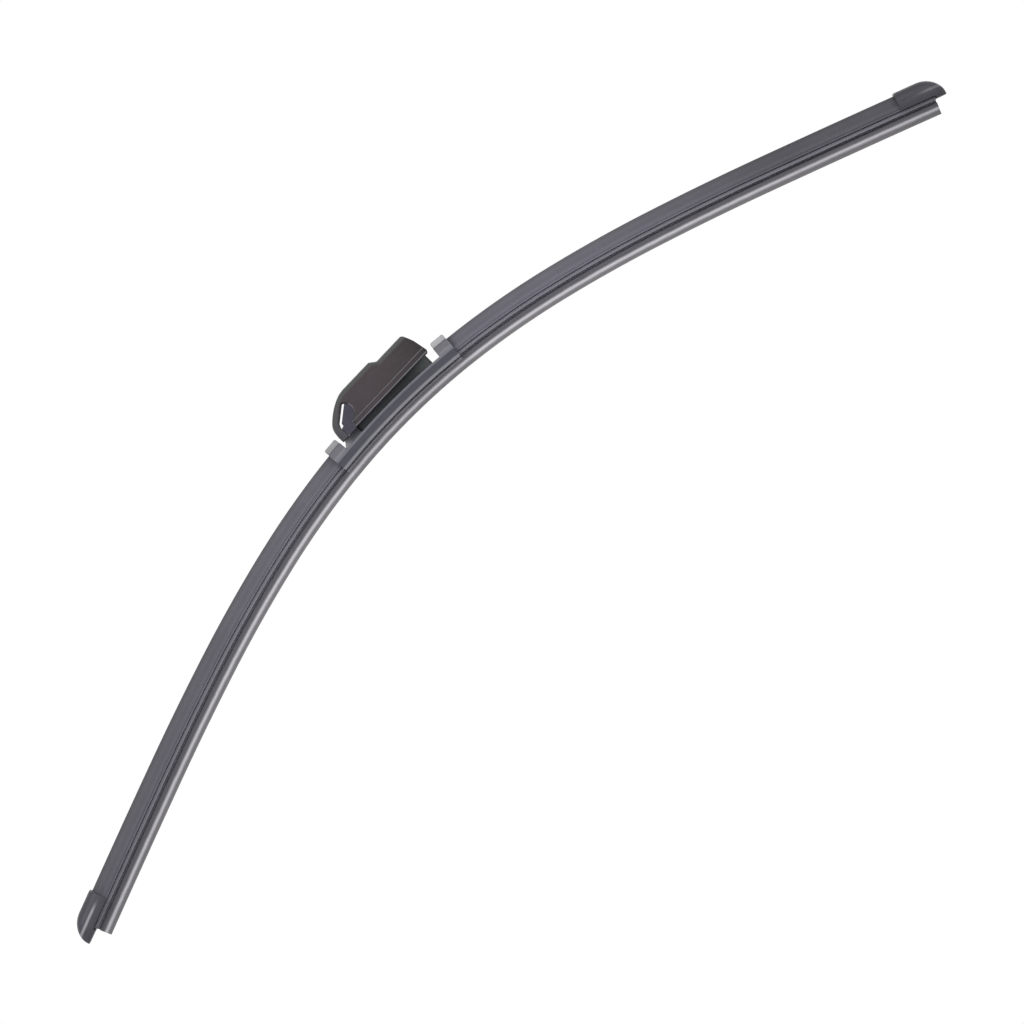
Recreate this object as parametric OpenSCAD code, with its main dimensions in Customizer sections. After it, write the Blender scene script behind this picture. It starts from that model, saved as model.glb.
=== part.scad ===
// Flat wiper blade with a centre connector for a hook arm.
// X runs along the blade, Y across it, and Z points away from the glass. The origin is the centre of the
// hook seat, on the pivot axis. Heights on the blade are measured from the edge of the wiping lip.

/* [Bow] */
// Length of the rubber from the top of the bow to its left end
rubber_left = 290.4; // [240:0.1:330]
// Length of the rubber from the top of the bow to its right end
rubber_right = 299.2; // [240:0.1:330]
// Radius of the lip line under the centre connector
bow_r_centre = 365; // [300:1:900]
// Radius of the lip line beside the connector
bow_r_inner = 437; // [350:1:1500]
// Radius of the lip line between connector and arm
bow_r_outer = 709; // [500:1:3000]
// Radius of the lip line along the arm
bow_r_arm = 1440; // [800:10:6000]
// Radius of the lip line at the tips
bow_r_tip = 7000; // [4000:100:20000]
// Length of the zone with the inner radius
inner_zone = 50; // [30:1:70]
// Length of the zone with the outer radius
outer_zone = 55; // [30:1:70]
// Length of the zone with the arm radius
arm_zone = 60; // [30:1:70]
// Tilt of the blade under the adapter, as it lies at rest
blade_tilt = 1.5; // [0:0.1:3]

/* [Rubber] */
// Thickness of the wiping edge
lip_w = 0.7; // [0.5:0.05:1]
// Height of the wiping wedge
wedge_h = 3.9; // [3:0.1:5]
// Width of the wedge at its root
wedge_w = 4.2; // [3:0.1:5]
// Width of the shoulder above the wedge
shoulder_w = 5.8; // [5.2:0.1:7]
// Height of the shoulder
shoulder_h = 1.95; // [1.4:0.05:2.4]
// Width of the tilting neck
neck_w = 1.0; // [0.8:0.1:1.6]
// Height of the tilting neck
neck_h = 1.3; // [1:0.1:2]
// Width of the flange under the rails
flange_w = 9.6; // [8:0.1:10]
// Height of the flange
flange_h = 1.7; // [1.2:0.1:2]
// Width of the grooved head
head_w = 6.6; // [6:0.1:7]
// Rubber over the rails
head_t = 0.75; // [0.6:0.05:1.2]

/* [Rails] */
// Width of each steel rail
rail_w = 4; // [3.4:0.1:5]
// Thickness of each steel rail
rail_t = 0.8; // [0.7:0.05:1]
// Gap between the two rails
rail_gap = 2.8; // [2:0.1:3.4]
// How much shorter than the rubber the rails are at each end
rail_inset = 2; // [1:0.5:4]
// Length of the steel clips near the rail ends
clip_len = 3.6; // [2:0.2:4]
// Thickness of the steel clips
clip_t = 0.55; // [0.5:0.05:0.8]

/* [Spoiler] */
// Thickness of the claws beside the rails
claw_t = 1.05; // [0.8:0.05:1.6]
// Thickness of the claw lips under the rails
lip_t = 0.55; // [0.4:0.05:0.8]
// Gap between the rubber's flange and the claws
claw_gap = 0.3; // [0.3:0.05:1]
// Height of the spoiler over its claws
fin_h = 8.2; // [6:0.1:10]
// Height of the upright skirt of the spoiler
skirt_h = 1.8; // [1.7:0.1:2.4]
// Distance of the ridge behind the middle
ridge_y = 1.1; // [0:0.1:2]
// Thickness of the ridge
ridge_w = 1.3; // [0.8:0.1:2]

/* [End caps] */
// Length of an end cap
cap_len = 23.9; // [23.8:0.1:28]
// Reach of the left cap past the rubber
cap_reach_left = 8.4; // [5:0.1:8.5]
// Reach of the right cap past the rubber
cap_reach_right = 6.1; // [5:0.1:8.5]
// Wall of the end caps
cap_wall = 1.1; // [0.9:0.1:1.6]
// Height of the dome over the spoiler
cap_rise = 1.3; // [1.2:0.1:2.4]
// Height of the lower tier of the cap
tier_h = 4.3; // [3.8:0.1:5]
// Overlap of cap and spoiler
cap_grip = 3; // [2:0.5:3]

/* [Base] */
// Length of the base shell
base_len = 77; // [76:0.2:84]
// Width of the base shell
base_w = 17.2; // [16.6:0.1:19]
// Height of the shell's skirt edge over the lip edge
base_drop = 6.4; // [5.6:0.1:6.8]
// Width that the bead along the skirt stands out by
bead_w = 0.4; // [0.2:0.1:0.6]
// Height of the bead
bead_h = 1.1; // [0.8:0.1:1.4]
// Wall of the base shell
shell_t = 1.3; // [1:0.1:1.5]
// Length of the blocks that close the spoiler ends
block_len = 7.8; // [6:0.1:8]
// Width of those blocks
block_w = 12.4; // [11:0.1:13]
// Height of the blocks over the deck
block_h = 4.75; // [4:0.05:5.2]
// Height of the light stops on the blocks
stop_h = 3; // [2:0.1:3.6]
// Width of the light stops
stop_w = 9; // [7:0.1:10]

/* [Carrier] */
// Front end of the carrier tub, ahead of the pivot
tub_front = 20.7; // [17:0.1:22]
// Rear end of the carrier tub, behind the pivot
tub_rear = 27.3; // [22:0.1:29]
// Outside width of the carrier
carrier_w = 12.6; // [12.6:0.1:13]
// Wall of the carrier
carrier_t = 1.2; // [1:0.1:1.3]
// Floor of the carrier
web_t = 1; // [0.8:0.1:1.2]
// Height of the tub over the deck
tub_h = 4.2; // [4:0.1:5]
// Length of each pair of claws
claw_len = 9.5; // [6:0.5:11]
// Radius of the ears round the pivot
ear_r = 4.2; // [3.6:0.1:4.3]
// Height of the pivot over the deck
pivot_rise = 7.85; // [7.8:0.05:8.4]
// Radius of the rivet
rivet_r = 1.8; // [1.4:0.1:1.9]
// Radius of the rivet heads
rivet_head_r = 3; // [2.6:0.1:3.4]
// Thickness of the rivet heads
rivet_head_t = 0.55; // [0.4:0.05:0.65]
// Outer radius of the sleeve on the rivet
sleeve_r = 2.6; // [2.4:0.05:2.8]

/* [Adapter] */
// Reach of the nose ahead of the pivot
nose_x = 30.7; // [29.6:0.1:30.8]
// Reach of the rear end behind the pivot
rear_x = 29.6; // [28:0.1:30]
// Width of the adapter
adapter_w = 17.2; // [17:0.1:18]
// Side wall of the adapter
wall_t = 1.4; // [1.2:0.1:1.4]
// Height of the raised top over the pivot
top_h = 13.1; // [12.4:0.1:14]
// Height of the rear roof over the pivot
roof_h = 10.6; // [10.2:0.1:10.8]
// Depth of the side walls under the pivot
wall_drop = 4.1; // [3.9:0.1:4.3]
// Depth of the nose under the pivot
nose_drop = 4.5; // [4.3:0.1:4.8]
// Radius of the hook seat
seat_r = 4.3; // [4.1:0.1:4.6]
// Width of the channel for the hook arm
channel_w = 9.5; // [9.2:0.1:9.6]
// Height of the channel for the hook arm
channel_h = 4.4; // [4.2:0.1:4.4]
// Thickness of the tongue that carries the hook seat
tongue_t = 4; // [3:0.1:4.2]
// Width of the see-through slot in the nose
slot_w = 1.5; // [1.2:0.1:2]
// Radius of the long edges of the adapter
edge_r = 3; // [2:0.1:3.4]
// Height of the beads along the side walls
rib_h = 0.8; // [0.6:0.1:1]
// Distance that the beads stand out by
rib_w = 0.35; // [0.2:0.05:0.5]

/* [Hidden] */

// Fits
slide_fit = 0.1;
side_fit = 0.15;
face_fit = 0.3;
running_fit = 0.05;
over = 1;
thin = 0.01;
draft = 0.05;

// Heights over the lip edge
z_neck = wedge_h + shoulder_h;
z_flange = z_neck + neck_h;
z_flange_top = z_flange + flange_h;
z_claw = z_flange_top + claw_gap;
z_slot = z_claw + lip_t;
z_rail = z_slot + slide_fit;
z_rail_top = z_rail + rail_t;
z_slot_top = z_rail_top + slide_fit;
z_head = z_rail_top + head_t;
z_room = z_head + face_fit;
z_web = z_head + slide_fit;
z_deck = z_web + web_t;
z_fin = z_claw + fin_h;
z_block = z_deck + block_h;
pivot_h = z_deck + pivot_rise;

// Half widths
rail_in = rail_gap/2;
rail_out = rail_in + rail_w;
claw_in = rail_out + side_fit;
claw_out = claw_in + claw_t;
claw_lip_in = head_w/2 + side_fit*3;
room_y = head_w/2 + face_fit;
cap_in = claw_out + side_fit;
cap_out = cap_in + cap_wall;

// Places along the bow
centre_margin = 4.9;
centre_zone = base_len/2 + centre_margin;
bow_zones = [[bow_r_centre, centre_zone],
             [bow_r_inner, centre_zone + inner_zone],
             [bow_r_outer, centre_zone + inner_zone + outer_zone],
             [bow_r_arm, centre_zone + inner_zone + outer_zone + arm_zone],
             [bow_r_tip, 1000]];
station_step = 12;
deg = 180/PI;
spoiler_in = base_len/2 + running_fit;
left_cap_in = rubber_left + cap_reach_left - cap_len;
right_cap_in = rubber_right + cap_reach_right - cap_len;

// Colours
rubber_col = "#2b2b2e";
steel_col = "#9a9da2";
spoiler_col = "#5f5e68";
cap_col = "#48484e";
base_col = "#46474f";
carrier_col = "#26282b";
body_col = "#4b4448";
guide_col = "#464654";
stop_col = "#bdbec0";

// Point of the lip line and its downward heading in degrees, s along the line from the top of the bow
function walk(s, i = 0, s0 = 0, a0 = 0, p = [0, 0]) =
    let (last = i == len(bow_zones) - 1,
         r = bow_zones[i][0],
         s1 = last ? s : min(s, bow_zones[i][1]),
         a1 = a0 + (s1 - s0)/r*deg,
         q = p + r*[sin(a1) - sin(a0), cos(a1) - cos(a0)])
    s <= s1 ? [q[0], q[1], a1] : walk(s, i + 1, s1, a1, q);
function bow(s) = let (w = walk(abs(s)), k = sign(s)) [k*w[0], w[1], k*w[2]];

// Point at height h over the lip line
function over_lip(s, h) = let (b = bow(s)) [b[0] + h*sin(b[2]), b[1] + h*cos(b[2])];

function steps(s0, s1) = max(1, ceil((s1 - s0)/station_step));
function stations(s0, s1) = [for (i = [0:steps(s0, s1)]) s0 + (s1 - s0)*i/steps(s0, s1)];
function reverse(v) = [for (i = [len(v) - 1:-1:0]) v[i]];
function both_sides(half) = concat(half, [for (q = reverse(half)) [-q[0], q[1]]]);
function bend(a, b, c, n) = [for (i = [0:n]) let (t = i/n) (1 - t)*(1 - t)*a + 2*t*(1 - t)*b + t*t*c];

// Solid through rings of points with the same count. In each ring point j faces point n - 1 - j, so both ends
// close with flat rungs between them.
module skin(rings) {
    n = len(rings[0]);
    m = len(rings);
    sides = [for (i = [0:m - 2]) for (j = [0:n - 1])
             let (k = (j + 1)%n) [i*n + j, (i + 1)*n + j, (i + 1)*n + k, i*n + k]];
    rungs = [for (j = [0:n/2 - 2]) [j, j + 1, n - 2 - j, n - 1 - j]];
    polyhedron([for (r = rings) each r],
               concat(rungs, sides, [for (q = rungs) [for (j = reverse(q)) (m - 1)*n + j]]),
               convexity = 8);
}

// Section of [y, height] points drawn along the bow
module along_bow(section, s0, s1) {
    skin([for (s = stations(s0, s1))
          [for (q = section) let (p = over_lip(s, q[1])) [p[0], q[0], p[1]]]]);
}

// Strip with straight sides along the bow
module bow_strip(s0, s1, y0, y1, h0, h1) {
    st = stations(s0, s1);
    translate([0, y1, 0]) rotate([90, 0, 0]) linear_extrude(y1 - y0)
        polygon(concat([for (s = st) over_lip(s, h0)], [for (s = reverse(st)) over_lip(s, h1)]));
}

// Section of [y, height] points turned round the centre of the middle zone
module bow_ring(section, s0, s1) {
    a0 = s0/bow_r_centre*deg;
    a1 = s1/bow_r_centre*deg;
    translate([0, 0, -bow_r_centre]) rotate([90, 0, 0]) rotate([0, 0, 90 - a1])
        rotate_extrude(angle = a1 - a0, $fn = 1080)
            polygon([for (q = section) [bow_r_centre + q[1], -q[0]]]);
}

// Children placed on the lip line, x along it and z away from the glass
module at_station(s) {
    b = bow(s);
    translate([b[0], 0, b[1]]) rotate([0, b[2], 0]) children();
}

// The blade under the pivot
module blade_frame() {
    rotate([0, blade_tilt, 0]) translate([0, 0, -pivot_h]) children();
}

module y_cylinder(r, y0, y1, fn = 64) {
    translate([0, y1, 0]) rotate([90, 0, 0]) cylinder(r = r, h = y1 - y0, $fn = fn);
}

module xz_plate(points, y0, y1) {
    translate([0, y1, 0]) rotate([90, 0, 0]) linear_extrude(y1 - y0) polygon(points);
}

module rounded_plan(x0, x1, half_w, r) {
    translate([x0 + r, -half_w]) square([x1 - x0 - 2*r, 2*half_w]);
    translate([x0, -half_w + r]) square([x1 - x0, 2*half_w - 2*r]);
    for (x = [x0 + r, x1 - r])
        for (y = [-half_w + r, half_w - r])
            translate([x, y]) circle(r, $fn = 48);
}

// Half outline of the rubber, from the lip edge up to the head
rubber_half = [
    [lip_w/2, 0],
    [lip_w/2 + 0.08, lip_w],
    [wedge_w*0.29, wedge_h*0.56],
    [wedge_w/2, wedge_h],
    [shoulder_w/2, wedge_h + 0.5],
    [shoulder_w/2, z_neck - 0.35],
    [shoulder_w/2 - 0.35, z_neck],
    [neck_w/2 + 0.25, z_neck + draft],
    [neck_w/2, z_neck + 0.3],
    [neck_w/2, z_flange - 0.3],
    [neck_w/2 + 0.3, z_flange],
    [flange_w/2 - 0.4, z_flange + draft],
    [flange_w/2, z_flange + 0.4],
    [flange_w/2, z_flange_top - 0.3],
    [flange_w/2 - 0.3, z_flange_top - draft],
    [head_w/2, z_flange_top],
    [head_w/2, z_rail - running_fit - draft],
    [rail_in - running_fit, z_rail - running_fit],
    [rail_in - running_fit, z_rail_top + running_fit],
    [head_w/2, z_rail_top + running_fit + draft],
    [head_w/2, z_head - 0.3],
    [head_w/2 - 0.3, z_head]];

module rubber_strip() {
    color(rubber_col) blade_frame()
        along_bow(both_sides(rubber_half), -rubber_left, rubber_right);
}

// Notch near each rail end that a cap snaps into
notch_len = 2;
notch_w = 0.7;
notch_from_end = 5;

module rail(side) {
    s0 = -rubber_left + rail_inset;
    s1 = rubber_right - rail_inset;
    color(steel_col) blade_frame() difference() {
        bow_strip(s0, s1, side > 0 ? rail_in : -rail_out, side > 0 ? rail_out : -rail_in, z_rail, z_rail_top);
        for (s = [s0 + notch_from_end, s1 - notch_from_end])
            at_station(s) translate([-notch_len/2, side*rail_out - notch_w, z_rail - over])
                cube([notch_len, 2*notch_w, rail_t + 2*over]);
    }
}

// Outer outline of the spoiler from rear claw over the ridge to front claw, grown by g
function fin_outline(g = 0) =
    let (y0 = claw_out + g,
         z_skirt = z_claw + skirt_h,
         top = z_fin + g,
         side = [[y0 - 0.3, z_claw - g], [y0, z_claw + 0.3 - g],
                 [y0, z_slot + slide_fit], [y0, z_slot_top - slide_fit]],
         rear = bend([y0, z_skirt + g*0.6],
                     [y0*0.8, z_skirt + fin_h*0.54 + g],
                     [ridge_y + ridge_w/2 + g, top - 0.15], 5),
         front = bend([ridge_y - ridge_w/2 - g, top - 0.3],
                      [-y0*0.36, z_skirt + 1.7 + g],
                      [-y0, z_skirt + g*0.6], 6))
    concat(side, rear, [[ridge_y - 0.1, top]], front, [for (q = reverse(side)) [-q[0], q[1]]]);

// Underside of the spoiler in the same order, with as many points
function fin_under() =
    let (side = [[claw_lip_in, z_claw], [claw_lip_in, z_slot], [claw_in, z_slot], [claw_in, z_slot_top],
                 [room_y, z_slot_top]],
         n = len(fin_outline()) - 2*len(side) - 1)
    concat(side, [for (i = [0:n]) [room_y*(1 - 2*i/n), z_room]], [for (q = reverse(side)) [-q[0], q[1]]]);

module spoiler(s0, s1) {
    color(spoiler_col) blade_frame() along_bow(concat(fin_outline(), reverse(fin_under())), s0, s1);
}

module spoiler_left() spoiler(-left_cap_in - cap_grip, -spoiler_in);
module spoiler_right() spoiler(spoiler_in, right_cap_in + cap_grip);

// Steel clip folded over the head and under both rails
clip_out = claw_in + clip_t;
clip_top = z_room + clip_t;
module rail_clip(s) {
    color(steel_col) blade_frame() at_station(s)
        translate([-clip_len/2, 0, 0]) rotate([90, 0, 90]) linear_extrude(clip_len)
            polygon(concat(
                both_sides([[claw_lip_in, z_slot - clip_t], [clip_out, z_slot - clip_t],
                            [clip_out, z_slot_top + clip_t], [room_y + clip_t, clip_top]]),
                reverse(both_sides([[claw_lip_in, z_slot], [claw_in, z_slot],
                            [claw_in, z_slot_top], [room_y, z_room]]))));
}
clip_from_end = 10.2;
module rail_clip_left() rail_clip(-rubber_left + clip_from_end);
module rail_clip_right() rail_clip(rubber_right - clip_from_end);

// Ring of the end cap: lower tier of half width w with its ledge at height t, and a dome up to height d
z_cap = z_claw - side_fit;
ledge_in = 0.95;
function cap_ring(x, w, foot, t, d) =
    let (dome_w = w - ledge_in,
         rise = d - t,
         tier = [[w - 0.3, foot], [w, foot + 0.3], [w, t - 0.6], [w - 0.25, t - 0.15], [w - 0.8, t + 0.05]],
         rear = [[dome_w, t + 0.25], [dome_w - 0.25, t + rise*0.35], [dome_w*0.86, t + rise*0.68],
                 [dome_w*0.62, t + rise*0.9], [dome_w*0.38, d]],
         front = [[-dome_w*0.12, d], [-dome_w*0.5, t + rise*0.86], [-dome_w*0.76, t + rise*0.6],
                  [-dome_w + 0.25, t + rise*0.3], [-dome_w, t + 0.25]])
    [for (q = concat(tier, rear, front, [for (q = reverse(tier)) [-q[0], q[1]]])) [x, q[0], q[1]]];

// The cap, with its open end at x = 0 and its tip at x = cap_len; reach is the tip's distance past the rubber
dome_turn = 12;
ledge_turn = 7;
plan_turn = 9;
tip_w = 2;
tip_drop = 1.1;
end_wall = 0.8;
module cap_form(reach) {
    ledge = z_cap + tier_h;
    dome = z_fin + cap_rise;
    z_tip = z_cap - tip_drop;
    hold = cap_len - reach;
    clip_end = hold - clip_from_end + clip_len/2 + face_fit;
    bend_x = cap_len - dome_turn;
    step_in = hold + end_wall - face_fit;
    tip_in = hold + end_wall;
    function fall(x, turn) = sqrt(1 - pow(max(0, x - cap_len + turn)/turn, 2));
    function dome_at(x) = z_tip + 0.2 + (dome - z_tip - 0.2)*fall(x, dome_turn);
    function ring(x, foot, sink = 0) =
        let (d = dome_at(x),
             t = min(z_cap + 0.5 + (tier_h - 0.5)*fall(x, ledge_turn), d - 0.4))
        cap_ring(x, tip_w + (cap_out - tip_w)*fall(x, plan_turn), foot, t, d - sink);
    difference() {
        skin(concat(
            [ring(0, z_cap, 0.35), ring(0.6, z_cap)],
            [for (u = [0, 0.3, 0.55, 0.8, 1]) ring(bend_x + (step_in - bend_x)*u, z_cap)],
            [for (a = [0, 18, 36, 54, 70, 82]) ring(tip_in + (cap_len - tip_in)*sin(a), z_tip)]));
        // Seat of the spoiler end
        translate([-over, 0, 0]) rotate([90, 0, 90]) linear_extrude(over + cap_grip + face_fit)
            polygon(concat(fin_outline(side_fit),
                           [[-claw_lip_in, z_cap - over], [claw_lip_in, z_cap - over]]));
        // Room for the clip
        translate([cap_grip, 0, 0]) rotate([90, 0, 90]) linear_extrude(clip_end - cap_grip)
            polygon(both_sides([[clip_out + side_fit, z_cap - over],
                                [clip_out + side_fit, z_slot_top + clip_t + slide_fit],
                                [room_y + clip_t + side_fit, clip_top + slide_fit]]));
        // Room for rails and rubber head
        translate([clip_end - thin, 0, 0]) rotate([90, 0, 90]) linear_extrude(hold - clip_end + face_fit)
            polygon(both_sides([[claw_in + slide_fit, z_slot], [claw_in + slide_fit, z_slot_top + slide_fit],
                                [room_y + side_fit, z_room]]));
        // Slot for the rubber in the floor
        translate([-over, -claw_lip_in + 0.1, z_cap - over])
            cube([over + hold + face_fit, 2*claw_lip_in - 0.2, over + z_slot - z_cap + slide_fit]);
        // Room for the rubber's flange
        translate([-over, -flange_w/2 - face_fit, z_cap - over])
            cube([over + hold + face_fit, flange_w + 2*face_fit, z_flange_top + face_fit - z_cap + over]);
    }
    // Snap nibs in the rail notches
    nib_x = hold - rail_inset - notch_from_end;
    nib_in = rail_out - notch_w + slide_fit;
    nib_out = claw_in + 2*slide_fit;
    for (side = [-1, 1])
        translate([nib_x - notch_len/2 + slide_fit, side > 0 ? nib_in : -nib_out, z_rail + slide_fit])
            cube([notch_len - 2*slide_fit, nib_out - nib_in, rail_t - 2*slide_fit]);
}

module end_cap_left() {
    color(cap_col) blade_frame() at_station(-left_cap_in) mirror([1, 0, 0]) cap_form(cap_reach_left);
}
module end_cap_right() {
    color(cap_col) blade_frame() at_station(right_cap_in) cap_form(cap_reach_right);
}

// Base shell: it follows the bow, clips on the rails at its ends and carries the blocks
half_base = base_len/2;
base_y = base_w/2;
deck_chamfer = 0.9;
block_in = half_base - block_len;
wall_in = block_in - shell_t;
tub_y = carrier_w/2;
plinth_out = 1.2;
plinth_h = 0.5;
plinth_rise = 1.1;
ramp_len = 2.5;
ramp_foot_h = 0.6;
ramp_h = 3.5;
ramp_w = 9.6;
ramp_side = [[-block_in - over, z_deck - over/2], [-block_in - over, z_deck + ramp_foot_h],
             [-block_in, z_deck + ramp_foot_h], [-block_in + ramp_len, z_deck + ramp_h],
             [-tub_front + over, z_deck + ramp_h], [-tub_front + over, z_deck - over/2]];

module base_shell() {
    color(base_col) blade_frame() difference() {
        union() {
            bow_ring(both_sides([[base_y + bead_w, base_drop], [base_y + bead_w, base_drop + bead_h],
                                 [base_y, base_drop + bead_h + bead_w], [base_y, z_deck - deck_chamfer],
                                 [base_y - deck_chamfer, z_deck]]), -half_base, half_base);
            for (k = [-1, 1])
                bow_ring(both_sides([[block_w/2 + plinth_out, z_deck - over],
                                     [block_w/2 + plinth_out, z_deck + plinth_h],
                                     [block_w/2, z_deck + plinth_h + plinth_rise],
                                     [block_w/2, z_block - 0.8], [block_w/2 - 0.8, z_block]]),
                         k > 0 ? block_in : -half_base, k > 0 ? half_base : -block_in);
            // Ramp from the left block up to the carrier tub
            xz_plate([for (q = ramp_side) over_lip(q[0], q[1])], -ramp_w/2, ramp_w/2);
        }
        // Hollow under the deck
        bow_ring(both_sides([[base_y - shell_t, base_drop - over], [base_y - shell_t, z_web]]),
                 -wall_in, wall_in);
        // Way for rails and rubber through the end walls
        bow_ring(both_sides([[claw_lip_in, base_drop - over], [claw_lip_in, z_slot], [claw_in, z_slot],
                             [claw_in, z_slot_top], [room_y, z_slot_top], [room_y, z_room]]),
                 -half_base - over, half_base + over);
        bow_ring(both_sides([[flange_w/2 + face_fit, base_drop - over],
                             [flange_w/2 + face_fit, z_flange_top + face_fit]]),
                 -half_base - over, half_base + over);
        // Opening for the carrier
        translate([0, 0, z_web - 2*over]) linear_extrude(z_block)
            rounded_plan(-tub_front - side_fit, tub_rear + side_fit, tub_y + side_fit, edge_plan + side_fit);
        // Sockets of the stops
        for (k = [-1, 1])
            at_station(k*stop_s) translate([0, 0, z_block - stud_h - face_fit])
                cylinder(r = stud_r + slide_fit, h = stud_h + over, $fn = 32);
    }
}

// Light stops plugged into the blocks
stud_r = 1.6;
stud_h = 2.5;
stop_s = half_base - block_len/2;
stop_chamfer = 0.5;
module end_stop(k) {
    color(stop_col) blade_frame() at_station(k*stop_s) {
        x = block_len/2;
        c = stop_chamfer;
        translate([0, 0, z_block + running_fit])
            xz_plate([[-x, 0], [x, 0], [x, stop_h - c], [x - c, stop_h], [-x + c, stop_h], [-x, stop_h - c]],
                     -stop_w/2, stop_w/2);
        translate([0, 0, z_block - stud_h]) cylinder(r = stud_r, h = stud_h + over, $fn = 32);
    }
}
module end_stop_left() end_stop(-1);
module end_stop_right() end_stop(1);

// Carrier: a cast tub with ears, clawed round both rails
edge_plan = 2.4;
tub_in = tub_y - carrier_t;
tub_top = z_deck + tub_h;
module pivot_carrier() {
    color(carrier_col) blade_frame() difference() {
        union() {
            intersection() {
                translate([0, 0, z_web - 2*over]) linear_extrude(tub_top - z_web + 2*over)
                    rounded_plan(-tub_front, tub_rear, tub_y, edge_plan);
                bow_ring(both_sides([[tub_y + over, z_web], [tub_y + over, pivot_h]]), -half_base, half_base);
            }
            for (k = [-1, 1]) {
                y0 = k > 0 ? tub_in : -tub_y;
                // Ear
                translate([0, 0, pivot_h]) y_cylinder(ear_r, y0, y0 + carrier_t);
                translate([-ear_r, y0, z_deck]) cube([2*ear_r, carrier_t, pivot_rise]);
                // Foot on the rail
                bow_ring([[k*tub_in, z_slot_top], [k*tub_y, z_slot_top], [k*tub_y, z_web + web_t/2],
                          [k*tub_in, z_web + web_t/2]], -tub_front + edge_plan, tub_rear - edge_plan);
            }
            for (s = [-tub_front + edge_plan, tub_rear - edge_plan - claw_len])
                for (k = [-1, 1])
                    bow_ring([[k*claw_lip_in, z_slot - lip_t], [k*tub_y, z_slot - lip_t],
                              [k*tub_y, z_slot_top + thin], [k*claw_in, z_slot_top + thin],
                              [k*claw_in, z_slot], [k*claw_lip_in, z_slot]], s, s + claw_len);
        }
        // Hollow of the tub, between the ears too
        intersection() {
            translate([0, 0, z_web]) linear_extrude(pivot_h + ear_r)
                rounded_plan(-tub_front + carrier_t, tub_rear - carrier_t, tub_in, edge_plan - carrier_t);
            bow_ring(both_sides([[tub_y, z_deck], [tub_y, pivot_h + 2*ear_r]]), -half_base, half_base);
        }
        translate([0, 0, pivot_h]) y_cylinder(rivet_r + running_fit, -tub_y - over, tub_y + over);
    }
}

module pivot_sleeve() {
    color(steel_col) difference() {
        y_cylinder(sleeve_r, -tub_in + running_fit, tub_in - running_fit);
        y_cylinder(rivet_r + running_fit, -tub_y, tub_y);
    }
}

module pivot_rivet() {
    color(steel_col) {
        y_cylinder(rivet_r, -tub_y - running_fit - thin, tub_y + running_fit + thin);
        for (k = [-1, 1])
            y_cylinder(rivet_head_r, k > 0 ? tub_y + running_fit : -tub_y - running_fit - rivet_head_t,
                       k > 0 ? tub_y + running_fit + rivet_head_t : -tub_y - running_fit);
    }
}

// Adapter: outer and inner form as [x, top, half width] stations from nose to rear
adapter_y = adapter_w/2;
nose_turn = 2.6;
slope_x = 18.9;
plateau_x = 5.4;
step_x = 9.4;
nose_wall = 2.2;
roof_t = 2;
rim_t = 3.1;
outer_form = [
    [-nose_x, nose_turn - 3.8, adapter_y - 2.1],
    [-nose_x + 0.3, nose_turn - 1.8, adapter_y - 1.7],
    [-nose_x + 0.6, nose_turn - 0.5, adapter_y - 1.4],
    [-nose_x + 1.2, nose_turn + 0.9, adapter_y - 1],
    [-nose_x + 2.6, nose_turn + 2.6, adapter_y - 0.45],
    [-nose_x + 5.7, nose_turn + 5.2, adapter_y],
    [-slope_x - 3.1, top_h - 3.25, adapter_y],
    [-slope_x - 1.1, top_h - 2.15, adapter_y],
    [-slope_x + 0.9, top_h - 1.25, adapter_y],
    [-slope_x + 2.9, top_h - 0.55, adapter_y],
    [-slope_x + 4.9, top_h - 0.15, adapter_y],
    [-slope_x + 6.9, top_h, adapter_y],
    [plateau_x - 0.6, top_h, adapter_y],
    [plateau_x + 0.2, top_h - 0.25, adapter_y],
    [step_x - 0.9, roof_h + 0.2, adapter_y],
    [step_x, roof_h, adapter_y],
    [rear_x + over, roof_h, adapter_y]];
roof_in = seat_r + channel_h;
inner_form = [
    [-nose_x + nose_wall, nose_turn - 1.4, adapter_y - wall_t - 0.9],
    [-nose_x + nose_wall + 1.6, nose_turn + 0.2, adapter_y - wall_t - 0.4],
    [-nose_x + 6.6, nose_turn + 5.1 - rim_t, adapter_y - wall_t],
    [-slope_x + 1, top_h - 1.4 - rim_t + 0.5, adapter_y - wall_t],
    [-slope_x + 4.4, top_h - roof_t - 0.1, adapter_y - wall_t],
    [plateau_x - 1.4, top_h - roof_t, adapter_y - wall_t],
    [step_x - 2.2, roof_in, adapter_y - wall_t],
    [rear_x + 2*over, roof_in, adapter_y - wall_t]];

function form_ring(x, top, w, bottom, r) =
    [for (q = both_sides(concat([[w, bottom]],
        [for (a = [0:22.5:90]) [w - r + r*cos(a), top - r + r*sin(a)]]))) [x, q[0], q[1]]];

module form(stations_list, bottom, r) {
    skin([for (f = stations_list) form_ring(f[0], f[1], f[2], bottom, r)]);
}

// Window in both side walls at the nose, where the guide shows
rim_foot = 4.3;
rim_x = -nose_x + rim_foot;
rim_heel = [rim_x + 0.7, 3.1];
window_top = [-17.8, 9];
window_end = -20.7;
window_round = [[-16.3, 7.6], [-15.4, 5.6], [-15.4, 3.4], [-16.6, 1.4], [-18.6, -0.9], [-20.3, -3],
                [window_end, -wall_drop]];
window = concat([[rim_x, -nose_drop - over], [rim_x - 0.2, 1.2], rim_heel, window_top], window_round,
                [[window_end, -nose_drop - over]]);

notch_drop = 0.6;
floor_x = 8;
bridge_x = 11;
bridge_z = 2.4;
tongue_y = tub_in - side_fit;
tongue_end = rear_x - 5.4;
rib_t = 1.2;
rib_x = -7;
rib_z = seat_r + side_fit*3;
rib_in = 0.1;

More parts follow.
